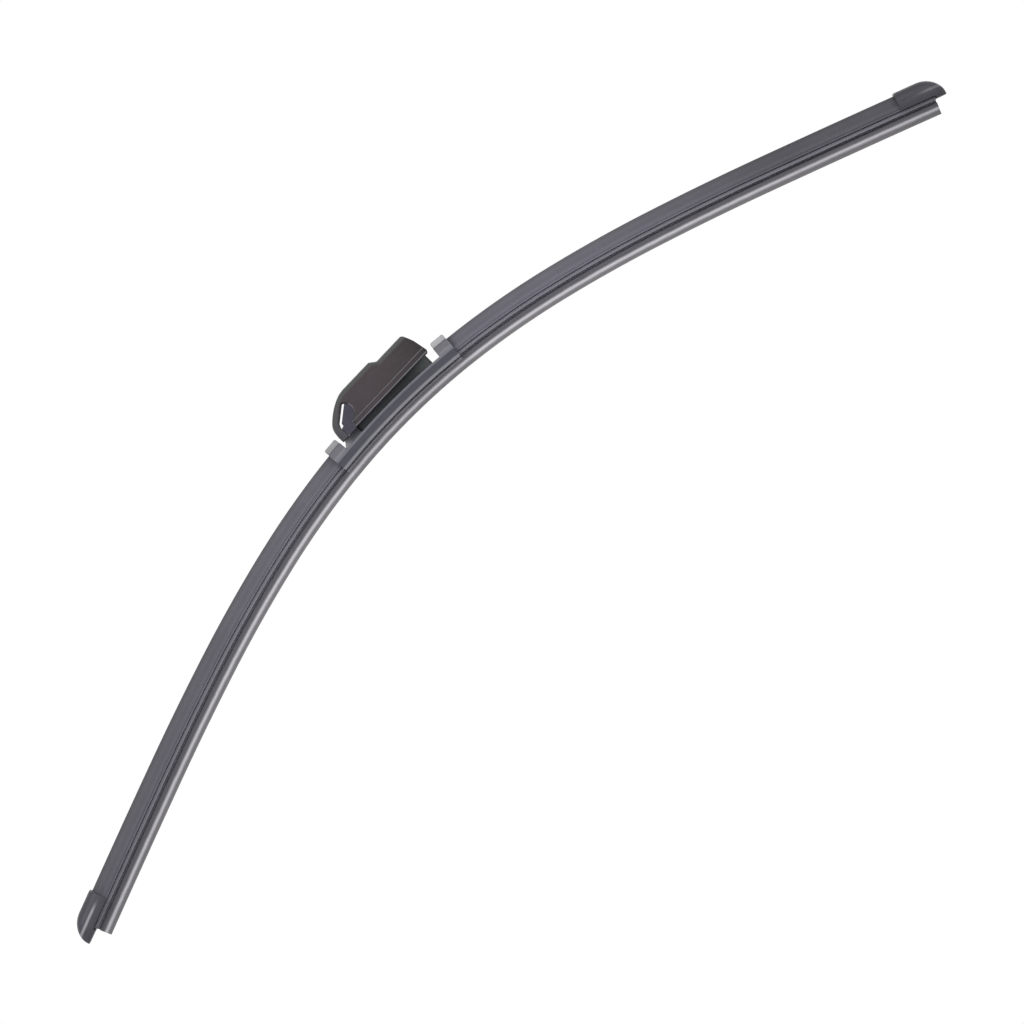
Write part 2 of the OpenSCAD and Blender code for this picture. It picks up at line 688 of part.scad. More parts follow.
module adapter_body() {
    color(body_col) {
        difference() {
            union() {
                form(outer_form, -nose_drop, edge_r);
                // Beads along both side walls
                for (k = [-1, 1])
                    for (z = [-wall_drop, -wall_drop + 2.5])
                        translate([window_end, k > 0 ? adapter_y - over : -adapter_y - rib_w, z])
                            cube([rear_x - window_end, over + rib_w, rib_h]);
            }
            form(inner_form, -nose_drop - over, edge_r - wall_t);
            // Side walls end higher than the nose
            translate([window_end, -adapter_w, -nose_drop - over])
                cube([rear_x - window_end + 2*over, 2*adapter_w, nose_drop + over - wall_drop]);
            xz_plate(window, -adapter_w, adapter_w);
            // Notch in the nose over the ramp of the base
            translate([-nose_x - over, -tub_in, -nose_drop - over])
                cube([nose_wall + 2*over, 2*tub_in, nose_drop + over - notch_drop]);
            // Slanted rear end
            xz_plate([[rear_x - 0.8, -nose_drop - over], [rear_x - 0.8, -wall_drop], [rear_x, -wall_drop + 0.9],
                      [rear_x - 1.2, 4], [rear_x - 2.2, 7], [rear_x - 3.4, roof_h - 0.8],
                      [rear_x - 4.6, roof_h], [rear_x - 4.6, roof_h + over],
                      [rear_x + 3*over, roof_h + over], [rear_x + 3*over, -nose_drop - over]],
                     -adapter_w, adapter_w);
        }
        // Hook seat on its tongue, bridged to both walls behind the ears
        difference() {
            union() {
                y_cylinder(seat_r, -tongue_y, tongue_y);
                translate([0, -tongue_y, -tongue_t/2]) cube([tongue_end, 2*tongue_y, tongue_t]);
                translate([floor_x, -tongue_y, 0]) cube([tongue_end - floor_x, 2*tongue_y, seat_r]);
                translate([bridge_x, -adapter_y + wall_t - rib_in, bridge_z])
                    cube([tongue_end - bridge_x, adapter_w - 2*wall_t + 2*rib_in, seat_r - bridge_z]);
            }
            y_cylinder(sleeve_r + running_fit, -tub_y, tub_y);
        }
        // Ribs that guide the arm
        for (k = [-1, 1])
            xz_plate([[rib_x, rib_z], [tongue_end, rib_z], [tongue_end, roof_in + rib_in],
                      [step_x - 2.2, roof_in + rib_in], [plateau_x - 1.4, top_h - roof_t + rib_in],
                      [rib_x, top_h - roof_t + rib_in]],
                     k > 0 ? channel_w/2 : -channel_w/2 - rib_t,
                     k > 0 ? channel_w/2 + rib_t : -channel_w/2);
    }
}

// Guide in the nose: it fills the windows up to the slot and lets the hook bend pass behind it
cheek_y = adapter_y - 0.4;
guide_fit = 0.12;
core_end = seat_r + channel_h + face_fit;
core_drop = 1;
slot_across = slot_w*[0.6, -0.8];
guide_heel = rim_heel + slot_across;
guide_top = window_top + slot_across;
guide_outline = concat(
    [[rim_x + guide_fit, -nose_drop], [rim_x + guide_fit - 0.2, 0.2], [rim_x + slot_w, 0.6],
     guide_heel, guide_top],
    [for (q = window_round) q - [guide_fit, 0]],
    [[window_end - guide_fit, -nose_drop]]);
guide_core = [[guide_heel[0], -core_drop], guide_heel, guide_top,
              [-core_end, guide_top[1]], [-core_end, -core_drop]];
module nose_guide() {
    color(guide_col) difference() {
        union() {
            xz_plate(guide_outline, -cheek_y, cheek_y);
            xz_plate(guide_core, -adapter_y + wall_t + guide_fit, adapter_y - wall_t - guide_fit);
        }
        translate([-nose_x, -tub_y - face_fit, -nose_drop - over])
            cube([nose_x, 2*tub_y + 2*face_fit, nose_drop + over - 0.2]);
    }
}

rubber_strip();
rail(-1);  // rail_front
rail(1);  // rail_rear
spoiler_left();
spoiler_right();
rail_clip_left();
rail_clip_right();
end_cap_left();
end_cap_right();
base_shell();
end_stop_left();
end_stop_right();
pivot_carrier();
pivot_sleeve();
pivot_rivet();
adapter_body();
nose_guide();
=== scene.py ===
"""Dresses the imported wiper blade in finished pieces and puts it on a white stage.

Lengths in the drawing functions are millimetres in the part's own frame. The origin is the hook seat on
the pivot axis, +X runs towards the arm, and +Z points away from the glass. Heights on the blade count from
the lip edge.
"""

import math

import bmesh
import bpy
from mathutils import Matrix, Vector


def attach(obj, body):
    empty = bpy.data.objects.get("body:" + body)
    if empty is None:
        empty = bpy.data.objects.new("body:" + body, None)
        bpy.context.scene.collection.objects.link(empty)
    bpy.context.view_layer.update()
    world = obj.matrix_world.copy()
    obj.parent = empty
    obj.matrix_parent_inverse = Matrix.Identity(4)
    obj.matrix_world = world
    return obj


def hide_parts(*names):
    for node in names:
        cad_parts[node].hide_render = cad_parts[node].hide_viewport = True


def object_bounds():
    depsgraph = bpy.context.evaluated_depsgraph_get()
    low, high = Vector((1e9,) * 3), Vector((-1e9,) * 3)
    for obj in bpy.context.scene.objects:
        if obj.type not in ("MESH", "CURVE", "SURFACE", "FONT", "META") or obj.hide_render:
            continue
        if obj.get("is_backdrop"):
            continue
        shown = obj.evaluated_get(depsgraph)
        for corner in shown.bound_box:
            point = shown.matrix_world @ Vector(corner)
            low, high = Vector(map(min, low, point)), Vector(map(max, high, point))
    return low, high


bl_info = {
    "name": "Wiper blade",
    "version": (1, 0, 0),
    "blender": (4, 5, 0),
    "location": "3D view > sidebar > Wiper blade",
    "description": "Builds the finished pieces of a flat wiper blade around its packed frame",
    "category": "Object",
}

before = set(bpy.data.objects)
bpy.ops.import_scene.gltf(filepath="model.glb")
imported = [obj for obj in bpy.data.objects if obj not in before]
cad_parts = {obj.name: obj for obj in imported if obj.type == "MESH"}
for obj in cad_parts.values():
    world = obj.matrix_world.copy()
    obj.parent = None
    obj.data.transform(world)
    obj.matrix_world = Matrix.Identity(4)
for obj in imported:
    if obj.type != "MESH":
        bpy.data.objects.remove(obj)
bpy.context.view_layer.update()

MM = 0.001
MM_IN_METRE = 1000.0
BLADE = "blade"
ADAPTER = "adapter"

# Radius of the lip line and the distance from the top of the bow where each zone ends
BOW_ZONES = ((365.0, 43.4), (437.0, 93.4), (709.0, 148.4), (1440.0, 208.4), (7000.0, 1000.0))
BLADE_TILT = math.radians(1.5)

# Heights over the lip edge
WEDGE_TOP = 3.9
NECK = 5.85
FLANGE = 7.15
FLANGE_TOP = 8.85
CLAW = 9.15
SLOT = 9.7
RAIL = 9.8
RAIL_TOP = 10.6
SLOT_TOP = 10.7
HEAD_TOP = 11.35
ROOM_TOP = 11.65
FIN_TOP = 17.35
PIVOT = 20.3

# Places along the bow
RUBBER_LEFT = -290.4
RUBBER_RIGHT = 299.2
HALF_BASE = 38.5
CAP_LEN = 23.9
CAP_GRIP = 3.0
REACH_LEFT = 8.4
REACH_RIGHT = 6.1

# Half width of the adapter
SIDE_Y = 8.6

# Edges shorter than this are closed before and after the edges are rounded, in metres
SHORT_BEFORE = 1.5e-5
SHORT_AFTER = 6e-6

# Points nearer to each other than this are one point, in metres
WELD = 2e-6

# An island of fewer faces than this is small
SMALL_ISLAND = 12


# Lines and outlines


def walk(s):
    """Place of the lip line at distance s from the top of the bow, with its heading down in radians."""
    x = z = a = s0 = 0.0
    left = abs(s)
    for radius, end in BOW_ZONES:
        s1 = min(left, end)
        a1 = a + (s1 - s0) / radius
        x += radius * (math.sin(a1) - math.sin(a))
        z += radius * (math.cos(a1) - math.cos(a))
        a, s0 = a1, s1
        if left <= end:
            break
    side = -1.0 if s < 0 else 1.0
    return side * x, z, side * a


def blade_frame(x, y, z):
    """Point of the blade, with z over the lip edge, in the part's frame."""
    c, s = math.cos(BLADE_TILT), math.sin(BLADE_TILT)
    return Vector((x * c + (z - PIVOT) * s, y, -x * s + (z - PIVOT) * c))


def on_bow(s, y, h):
    """Point at distance s along the bow, y across and h over the lip line."""
    x, z, a = walk(s)
    return blade_frame(x + h * math.sin(a), y, z + h * math.cos(a))


def at_station(s, x, y, h):
    """Point of a straight piece that stands on the lip line at s."""
    bx, bz, a = walk(s)
    return blade_frame(bx + x * math.cos(a) + h * math.sin(a), y, bz - x * math.sin(a) + h * math.cos(a))


def rounded(points, radii, steps=3, closed=True):
    """Outline with its corners turned into arcs. radii is one radius or one for each corner."""
    out = []
    count = len(points)
    for i, point in enumerate(points):
        p = Vector(point)
        r = radii[i] if isinstance(radii, (list, tuple)) else radii
        if r <= 0 or (not closed and i in (0, count - 1)):
            out.append((p.x, p.y))
            continue
        a, b = Vector(points[i - 1]) - p, Vector(points[(i + 1) % count]) - p
        reach = min(a.length, b.length) * 0.48
        a.normalize()
        b.normalize()
        half = a.angle(b) / 2
        if half > math.radians(88):
            out.append((p.x, p.y))
            continue
        cut = min(r / math.tan(half), reach)
        r = cut * math.tan(half)
        centre = p + (a + b).normalized() * (r / math.sin(half))
        start, end = p + a * cut - centre, p + b * cut - centre
        sweep = start.angle(end)
        for k in range(steps + 1):
            t = k / steps
            if sweep < 1e-6:
                q = start
            else:
                q = (start * math.sin((1 - t) * sweep) + end * math.sin(t * sweep)) / math.sin(sweep)
            out.append((centre.x + q.x, centre.y + q.y))
    return out


def both_sides(half, radii):
    """Closed outline from its half on the +Y side, with the radius of each corner."""
    return mirrored(half), list(radii) + list(reversed(radii))


def mirrored(half):
    """Outline of points on the +Y side and their mirror images, in the other order."""
    return list(half) + [(-y, h) for y, h in reversed(half)]


def curve_through(points, steps):
    """Smooth open line through the points."""
    ends = [points[0]] + list(points) + [points[-1]]
    out = []
    for p0, p1, p2, p3 in zip(ends, ends[1:], ends[2:], ends[3:]):
        for k in range(steps):
            t = k / steps
            out.append(tuple(
                0.5 * (2 * b + (c - a) * t + (2 * a - 5 * b + 4 * c - d) * t * t
                       + (3 * b - a - 3 * c + d) * t**3)
                for a, b, c, d in zip(p0, p1, p2, p3)))
    return out + [tuple(points[-1])]


def bend(a, b, c, steps):
    """Points of the curve from a to c that leans towards b."""
    out = []
    for i in range(steps + 1):
        t = i / steps
        out.append(tuple((1 - t) ** 2 * a[k] + 2 * t * (1 - t) * b[k] + t * t * c[k] for k in (0, 1)))
    return out


def grown(outline, amount):
    """Closed outline moved outwards by the amount, point by point."""
    area = sum(a[0] * b[1] - b[0] * a[1] for a, b in zip(outline, outline[1:] + outline[:1]))
    out = []
    for i, point in enumerate(outline):
        before, after = Vector(outline[i - 1]), Vector(outline[(i + 1) % len(outline)])
        along = (after - before).normalized()
        away = Vector((along.y, -along.x)) * (1 if area > 0 else -1)
        out.append((point[0] + away.x * amount, point[1] + away.y * amount))
    return out


def spread(s0, s1, step):
    """Evenly spaced values from s0 to s1, at most step apart."""
    count = max(1, math.ceil(abs(s1 - s0) / step))
    return [s0 + (s1 - s0) * i / count for i in range(count + 1)]


# Meshes


def loft(rings):
    """bmesh through rings of points in millimetres, each with the same count."""
    bm = bmesh.new()
    grid = [[bm.verts.new(Vector(p) * MM) for p in ring] for ring in rings]
    count = len(grid[0])
    for a, b in zip(grid, grid[1:]):
        for j in range(count):
            k = (j + 1) % count
            bm.faces.new((a[j], b[j], b[k], a[k]))
    bm.faces.new(list(reversed(grid[0])))
    bm.faces.new(grid[-1])
    bmesh.ops.recalc_face_normals(bm, faces=bm.faces)
    return bm


def plate(outline, y0, y1):
    """bmesh of an outline in x and z, drawn through from y0 to y1."""
    return loft([[(x, y, z) for x, z in outline] for y in (y0, y1)])


def block(x0, x1, z0, z1, half):
    """bmesh of a rectangular block that reaches as far to both sides."""
    return plate([(x0, z0), (x1, z0), (x1, z1), (x0, z1)], -half, half)


def swept(section, stations):
    """bmesh of a closed section of (y, h) points carried along the bow."""
    return loft([[on_bow(s, y, h) for y, h in section] for s in stations])


def turned(profile, steps=48):
    """bmesh of a profile of (radius, y) points turned about the pivot axis, open profiles only."""
    bm = bmesh.new()
    rows = []
    for i in range(steps):
        a = 2 * math.pi * i / steps
        c, s = math.cos(a), math.sin(a)
        rows.append([bm.verts.new(Vector((r * c, y, r * s)) * MM) for r, y in profile])
    for i in range(steps):
        a, b = rows[i], rows[(i + 1) % steps]
        for j in range(len(profile) - 1):
            bm.faces.new((a[j], a[j + 1], b[j + 1], b[j]))
    bmesh.ops.remove_doubles(bm, verts=bm.verts, dist=1e-7)
    bmesh.ops.recalc_face_normals(bm, faces=bm.faces)
    return bm


def make_object(name, bm):
    """Object of a bmesh, linked to the scene."""
    mesh = bpy.data.meshes.new(name)
    bm.to_mesh(mesh)
    bm.free()
    obj = bpy.data.objects.new(name, mesh)
    bpy.context.scene.collection.objects.link(obj)
    return obj


def bake_modifiers(obj):
    """Turns the object's modifiers into plain mesh."""
    bpy.context.view_layer.update()
    graph = bpy.context.evaluated_depsgraph_get()
    shaped = obj.evaluated_get(graph)
    mesh = bpy.data.meshes.new_from_object(shaped, preserve_all_data_layers=True, depsgraph=graph)
    old = obj.data
    obj.modifiers.clear()
    obj.data = mesh
    bpy.data.meshes.remove(old)
    mesh.name = obj.name


def combine(obj, other_bm, operation):
    """Joins a bmesh to the object, or cuts it away."""
    tool = make_object(obj.name + "_tool", other_bm)
    mod = obj.modifiers.new("shape", "BOOLEAN")
    mod.operation = operation
    mod.solver = "EXACT"
    mod.object = tool
    bake_modifiers(obj)
    mesh = tool.data
    bpy.data.objects.remove(tool)
    bpy.data.meshes.remove(mesh)


def cut(obj, *bms):
    for bm in bms:
        combine(obj, bm, "DIFFERENCE")


def join(obj, *bms):
    for bm in bms:
        combine(obj, bm, "UNION")


def tidy_mesh(obj, flat=math.radians(0.4)):
    """Welds double points and joins the faces that lie in one plane."""
    bm = bmesh.new()
    bm.from_mesh(obj.data)
    bmesh.ops.remove_doubles(bm, verts=bm.verts, dist=WELD)
    bmesh.ops.dissolve_limit(bm, angle_limit=flat, verts=bm.verts, edges=bm.edges)
    bm.to_mesh(obj.data)
    bm.free()


def small_islands(bm):
    """Faces of the small islands beside the main one, which are left over from the cuts."""
    seen, found = set(), []
    for first in bm.faces:
        if first in seen:
            continue
        island, waiting = [], [first]
        seen.add(first)
        while waiting:
            face = waiting.pop()
            island.append(face)
            for other in [f for edge in face.edges for f in edge.link_faces]:
                if other not in seen:
                    seen.add(other)
                    waiting.append(other)
        found.append(island)
    found.sort(key=len)
    return [face for island in found[:-1] if len(island) < SMALL_ISLAND for face in island]


def drop_slivers(obj, shortest):
    """Closes edges shorter than the length and faces with no area, and removes what the cuts left."""
    bm = bmesh.new()
    bm.from_mesh(obj.data)
    bmesh.ops.dissolve_degenerate(bm, dist=shortest, edges=bm.edges)
    bmesh.ops.remove_doubles(bm, verts=bm.verts, dist=shortest)
    bmesh.ops.delete(bm, geom=small_islands(bm), context="FACES")
    bmesh.ops.delete(bm, geom=[v for v in bm.verts if not v.link_faces], context="VERTS")
    bmesh.ops.holes_fill(bm, edges=[e for e in bm.edges if e.is_boundary], sides=0)
    bm.to_mesh(obj.data)
    bm.free()


def soften(obj, width, angle=35.0, segments=2):
    """Rounds the edges sharper than the angle. The rounded faces take the second material slot."""
    drop_slivers(obj, SHORT_BEFORE)
    mod = obj.modifiers.new("soft edges", "BEVEL")
    mod.width = width * MM
    mod.segments = segments
    mod.limit_method = "ANGLE"
    mod.angle_limit = math.radians(angle)
    mod.material = 1
    mod.use_clamp_overlap = True
    mod.miter_outer = "MITER_ARC"
    bake_modifiers(obj)
    drop_slivers(obj, SHORT_AFTER)


def smooth_shade(obj, angle=32.0):
    """Smooth shading with creases at the edges sharper than the angle."""
    mesh = obj.data
    mesh.shade_smooth()
    mesh.set_sharp_from_angle(angle=math.radians(angle))


def mark_bow(obj):
    """Stores each point's height over the lip line and its distance along the bow, in millimetres."""
    table = [(s, *walk(s)) for s in spread(-305.0, 305.0, 1.0)]
    mesh = obj.data
    along = mesh.attributes.new("along", "FLOAT", "POINT")
    height = mesh.attributes.new("height", "FLOAT", "POINT")
    c, s = math.cos(BLADE_TILT), math.sin(BLADE_TILT)
    for i, v in enumerate(mesh.vertices):
        x0, z0 = v.co.x / MM, v.co.z / MM
        x, z = x0 * c - z0 * s, x0 * s + z0 * c + PIVOT
        low, high = 0, len(table) - 1
        while high - low > 1:
            mid = (low + high) // 2
            st, bx, bz, a = table[mid]
            if (x - bx) * math.cos(a) - (z - bz) * math.sin(a) > 0:
                low = mid
            else:
                high = mid
        st, bx, bz, a = table[low]
        along.data[i].value = st + (x - bx) * math.cos(a) - (z - bz) * math.sin(a)
        height.data[i].value = (x - bx) * math.sin(a) + (z - bz) * math.cos(a)


def slice_across(obj, x0, x1, step):
    """Cuts the faces at even steps in x, so that values stored at the points follow the bow."""
    bm = bmesh.new()
    bm.from_mesh(obj.data)
    for x in spread(x0, x1, step):
        bmesh.ops.bisect_plane(bm, geom=bm.verts[:] + bm.edges[:] + bm.faces[:], dist=1e-7,
                               plane_co=(x * MM, 0, 0), plane_no=(1, 0, 0))
    bm.to_mesh(obj.data)
    bm.free()


def copy_node(name, node):
    """New object with the mesh of a CAD node, welded and with whole flat faces."""
    obj = bpy.data.objects.new(name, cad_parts[node].data.copy())
    obj.data.name = name
    obj.data.materials.clear()
    for extra in [a.name for a in obj.data.attributes if a.name == "custom_normal"]:
        obj.data.attributes.remove(obj.data.attributes[extra])
    bpy.context.scene.collection.objects.link(obj)
    tidy_mesh(obj)
    return obj


def settle(obj, body, materials, replaces=()):
    """Gives the piece its materials, ties it to its body and hides the CAD nodes it stands for."""
    obj.data.materials.clear()
    for material in materials:
        obj.data.materials.append(material)
    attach(obj, body)
    if replaces:
        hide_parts(*replaces)


# Materials


def linear(colour):
    """Scene colour of an 8 bit screen colour."""
    out = []
    for value in colour:
        v = value / 255.0
        out.append(v / 12.92 if v <= 0.04045 else ((v + 0.055) / 1.055) ** 2.4)
    return (*out, 1.0)


def scaled(colour, factor, extra=0.0):
    """Scene colour made lighter or darker."""
    return tuple(min(1.0, c * factor + extra) for c in colour[:3]) + (1.0,)


class Nodes:
    """Short way to place and join the nodes of one tree."""

    def __init__(self, tree):
        self.tree = tree
        self.count = 0

    def add(self, kind, **values):
        """New node. A value named in_ plus a socket's name or number sets that socket, others the node."""
        node = self.tree.nodes.new(kind)
        node.location = (220 * (self.count % 7), -180 * (self.count // 7))
        self.count += 1
        for key, value in values.items():
            if key.startswith("in_"):
                slot = key[3:]
                node.inputs[int(slot) if slot.isdigit() else slot.replace("_", " ")].default_value = value
            else:
                setattr(node, key, value)
        return node

    def link(self, a, b):
        self.tree.links.new(a, b)

    def feed(self, socket, value):
        """Gives the socket a plain value, or joins it to another socket."""
        if isinstance(value, (int, float, tuple)):
            socket.default_value = value
        else:
            self.link(value, socket)

    def maths(self, operation, a, b=None, clamp=False):
        node = self.add("ShaderNodeMath", operation=operation, use_clamp=clamp)
        self.feed(node.inputs[0], a)
        if b is not None:
            self.feed(node.inputs[1], b)
        return node.outputs[0]

    def above(self, value, low, gain):
        """0 up to the low value, then rising with the gain, up to 1."""
        return self.maths("MULTIPLY", self.maths("SUBTRACT", value, low), gain, clamp=True)

    def product(self, first, *others):
        for other in others:
            first = self.maths("MULTIPLY", first, other)
        return first

    def ramp(self, factor, stops):
        """Colour ramp from pairs of position and colour."""
        node = self.add("ShaderNodeValToRGB")
        elements = node.color_ramp.elements
        while len(elements) < len(stops):
            elements.new(0.5)
        for element, (position, colour) in zip(elements, stops):
            element.position = position
            element.color = colour if len(colour) == 4 else (*colour, 1.0)
        self.link(factor, node.inputs["Fac"])
        return node.outputs["Color"]

    def greys(self, factor, *stops):
        """Ramp of greys from pairs of position and brightness."""
        return self.ramp(factor, [(position, (grey,) * 3) for position, grey in stops])

    def mix(self, factor, a, b, blend_type="MIX"):
        node = self.add("ShaderNodeMix", data_type="RGBA", blend_type=blend_type)
        for number, value in ((0, factor), (6, a), (7, b)):
            self.feed(node.inputs[number], value)
        return node.outputs[2]

    def multiplied(self, a, b):
        return self.mix(1.0, a, b, "MULTIPLY")

    def attribute(self, name):
        return self.add("ShaderNodeAttribute", attribute_name=name).outputs["Fac"]

    def place(self):
        """Place on the piece in metres, which moves with it."""
        return self.add("ShaderNodeTexCoord").outputs["Object"]

    def split(self, vector):
        """The X, Y and Z sockets of a vector."""
        node = self.add("ShaderNodeSeparateXYZ")
        self.link(vector, node.inputs["Vector"])
        return [node.outputs[axis] for axis in "XYZ"]

    def place_in_mm(self):
        """X, Y and Z of the place in the part's frame, in millimetres."""
        return [self.maths("MULTIPLY", axis, MM_IN_METRE) for axis in self.split(self.place())]

    def facing_up(self):
        """1 where the surface faces away from the glass, and -1 where it faces the glass."""
        return self.split(self.add("ShaderNodeNewGeometry").outputs["Normal"])[2]

    def noise(self, place, scale, **values):
        node = self.add("ShaderNodeTexNoise", **values)
        self.link(place, node.inputs["Vector"])
        self.feed(node.inputs["Scale"], scale)
        return node.outputs["Fac"]


def new_group(name, inputs, outputs):
    """Empty shader node group with named sockets."""
    tree = bpy.data.node_groups.new(name, "ShaderNodeTree")
    for label, default, low, high in inputs:
        socket = tree.interface.new_socket(name=label, in_out="INPUT", socket_type="NodeSocketFloat")
        socket.default_value, socket.min_value, socket.max_value = default, low, high
    for label in outputs:
        tree.interface.new_socket(name=label, in_out="OUTPUT", socket_type="NodeSocketFloat")
    n = Nodes(tree)
    return tree, n, n.add("NodeGroupInput"), n.add("NodeGroupOutput")


def grain_group():
    """Fine moulded grain: a height for bump, and a slow mottle for colour and roughness."""
    tree = bpy.data.node_groups.get("Moulded grain")
    if tree:
        return tree
    inputs = [("Size mm", 0.35, 0.02, 20.0), ("Mottle mm", 9.0, 0.5, 200.0)]
    tree, n, gin, gout = new_group("Moulded grain", inputs, ["Height", "Mottle"])
    place = n.place()
    for label, source, detail in (("Height", "Size mm", 3.0), ("Mottle", "Mottle mm", 5.0)):
        scale = n.maths("DIVIDE", MM_IN_METRE, gin.outputs[source])
        n.link(n.noise(place, scale, in_Detail=detail, in_Roughness=0.6), gout.inputs[label])
    return tree


def scuff_group():
    """Thin rubbed streaks that run mostly along the blade, in scattered patches."""
    tree = bpy.data.node_groups.get("Rubbed streaks")
    if tree:
        return tree
    inputs = [("Streak mm", 0.5, 0.05, 10.0), ("Amount", 0.5, 0.0, 1.0)]
    tree, n, gin, gout = new_group("Rubbed streaks", inputs, ["Mask"])
    place = n.place()
    long_way = n.add("ShaderNodeMapping", vector_type="POINT")
    long_way.inputs["Scale"].default_value = (0.045, 1.0, 1.0)
    n.link(place, long_way.inputs["Vector"])
    scale = n.maths("DIVIDE", MM_IN_METRE, gin.outputs["Streak mm"])
    streak = n.noise(long_way.outputs["Vector"], scale, in_Detail=2.0, in_Distortion=0.4)
    patch = n.noise(place, 70.0, in_Detail=3.0)
    both = n.product(n.above(streak, 0.6, 9.0), n.above(patch, 0.47, 6.0))
    n.link(n.maths("MULTIPLY", both, gin.outputs["Amount"], clamp=True), gout.inputs["Mask"])
    return tree


def dust_group():
    """Pale dust that settles on the sides that face away from the glass."""
    tree = bpy.data.node_groups.get("Settled dust")
    if tree:
        return tree
    inputs = [("Amount", 0.2, 0.0, 1.0), ("Speck mm", 0.6, 0.05, 10.0)]
    tree, n, gin, gout = new_group("Settled dust", inputs, ["Mask"])
    place = n.place()
    scale = n.maths("DIVIDE", MM_IN_METRE, gin.outputs["Speck mm"])
    speck = n.noise(place, scale, in_Detail=6.0, in_Roughness=0.7)
    cloud = n.noise(place, 45.0, in_Detail=4.0)
    up = n.above(n.facing_up(), -0.25, 0.8)
    mask = n.product(n.above(speck, 0.42, 3.2), n.above(cloud, 0.36, 3.0), up)
    n.link(n.maths("MULTIPLY", mask, gin.outputs["Amount"], clamp=True), gout.inputs["Mask"])
    return tree


def place_group(n, tree, **values):
    node = n.add("ShaderNodeGroup")
    node.node_tree = tree
    for key, value in values.items():
        node.inputs[key.replace("_", " ")].default_value = value
    return node


DUST_COLOUR = (168, 166, 160)
SPECULAR = 0.3
NO_TINT = (1.0, 1.0, 1.0, 1.0)


def moulding(name, colour, grain=0.35, depth=0.02, mottle=9.0, vary=0.16, rough=(0.42, 0.6), rubbed=0.4,
             rubbed_colour=None, dust=0.25, metallic=0.0, tones_of=None, tint=NO_TINT):
    """Material of a moulded, painted or rolled surface, with grain, mottled colour, rubbed streaks and dust.

    Its colour is the plain one given, or the tint times what tones_of draws by place.
    """
    material = bpy.data.materials.get(name)
    if material:
        return material
    material = bpy.data.materials.new(name)
    material.use_nodes = True
    tree = material.node_tree
    tree.nodes.clear()
    n = Nodes(tree)
    out = n.add("ShaderNodeOutputMaterial")
    shader = n.add("ShaderNodeBsdfPrincipled")
    n.link(shader.outputs["BSDF"], out.inputs["Surface"])
    shader.inputs["Metallic"].default_value = metallic
    shader.inputs["Specular IOR Level"].default_value = SPECULAR

    base = linear(colour)
    skin = place_group(n, grain_group(), Size_mm=grain, Mottle_mm=mottle)
    streaks = place_group(n, scuff_group(), Amount=rubbed)
    settled = place_group(n, dust_group(), Amount=dust)
    uneven = skin.outputs["Mottle"]
    if tones_of:
        tone = n.multiplied(tones_of(n), n.greys(uneven, (0.3, 1 - vary), (0.7, 1.0)))
        tone = n.multiplied(tone, tint)
    else:
        tone = n.ramp(uneven, [(0.3, scaled(base, 1 - vary)), (0.52, base), (0.74, scaled(base, 1 + vary))])
    worn = linear(rubbed_colour) if rubbed_colour else scaled(base, 1.7, 0.02)
    tone = n.mix(streaks.outputs["Mask"], tone, worn)
    tone = n.mix(settled.outputs["Mask"], tone, linear(DUST_COLOUR))
    n.link(tone, shader.inputs["Base Color"])

    dulled = n.maths("MULTIPLY", settled.outputs["Mask"], 0.3)
    mottled = n.greys(uneven, (0.25, rough[0]), (0.75, rough[1]))
    n.link(n.maths("ADD", mottled, dulled, clamp=True), shader.inputs["Roughness"])
    bump = n.add("ShaderNodeBump", in_Strength=0.8, in_Distance=depth * MM)
    n.link(skin.outputs["Height"], bump.inputs["Height"])
    n.link(bump.outputs["Normal"], shader.inputs["Normal"])
    return material


# Tones by place, as pairs of a place and a screen colour or a factor; many of them hold painted highlights
# and painted shade


def shaken_height(n, amount):
    """Height over the lip edge, made slightly uneven so that no tone ends in a ruled line."""
    height = n.attribute("height")
    wobble = n.noise(n.place(), 160.0, in_Detail=3.0)
    uneven = n.maths("MULTIPLY", n.maths("SUBTRACT", wobble, 0.5), amount)
    return n.maths("ADD", height, uneven)


def tones(n, value, low, high, stops):
    """Colour ramp whose stops are given in the value's own unit and in screen colours."""
    level = n.maths("DIVIDE", n.maths("SUBTRACT", value, low), high - low, clamp=True)
    return n.ramp(level, [((at - low) / (high - low), linear(colour)) for at, colour in stops])


# Half of the stretch that the factors along the bow cover
ALONG_HALF = 310.0


def along_shade(n, stops):
    """Grey factor by the distance along the bow."""
    full = 2 * ALONG_HALF
    level = n.maths("DIVIDE", n.maths("ADD", n.attribute("along"), ALONG_HALF), full, clamp=True)
    return n.greys(level, *[((at + ALONG_HALF) / full, factor) for at, factor in stops])


# Rubber by height: grey at the lip, a painted highlight along the wedge, and painted light in the neck and in
# the gap under the claws, to lift their shade
LIP_TONES_AND_PAINTED_LIGHT = (
    (0.0, (126, 124, 128)),
    (1.2, (122, 120, 124)),
    (1.6, (134, 132, 137)),
    (2.1, (176, 174, 179)),
    (2.6, (214, 212, 218)),
    (3.0, (206, 204, 210)),
    (3.4, (166, 164, 170)),
    (3.9, (112, 110, 117)),
    (4.5, (92, 91, 98)),
    (5.5, (88, 87, 94)),
    (6.0, (116, 114, 124)),
    (6.9, (146, 144, 155)),
    (7.2, (130, 128, 138)),
    (8.6, (128, 126, 136)),
    (8.9, (156, 154, 164)),
)
LIP_SHADE = ((-300, 0.84), (-200, 0.9), (-100, 1.0), (110, 0.97), (220, 0.86), (300, 0.84))
# The bands of the lip rise by this much towards the right end, from one distance over another
LIP_RISE, LIP_RISE_FROM, LIP_RISE_OVER = 0.38, 150.0, 80.0
# Painted light on the neck where it lies under the base, to lift the base's shadow
PAINTED_LIGHT_UNDER_BASE = (146, 144, 152)


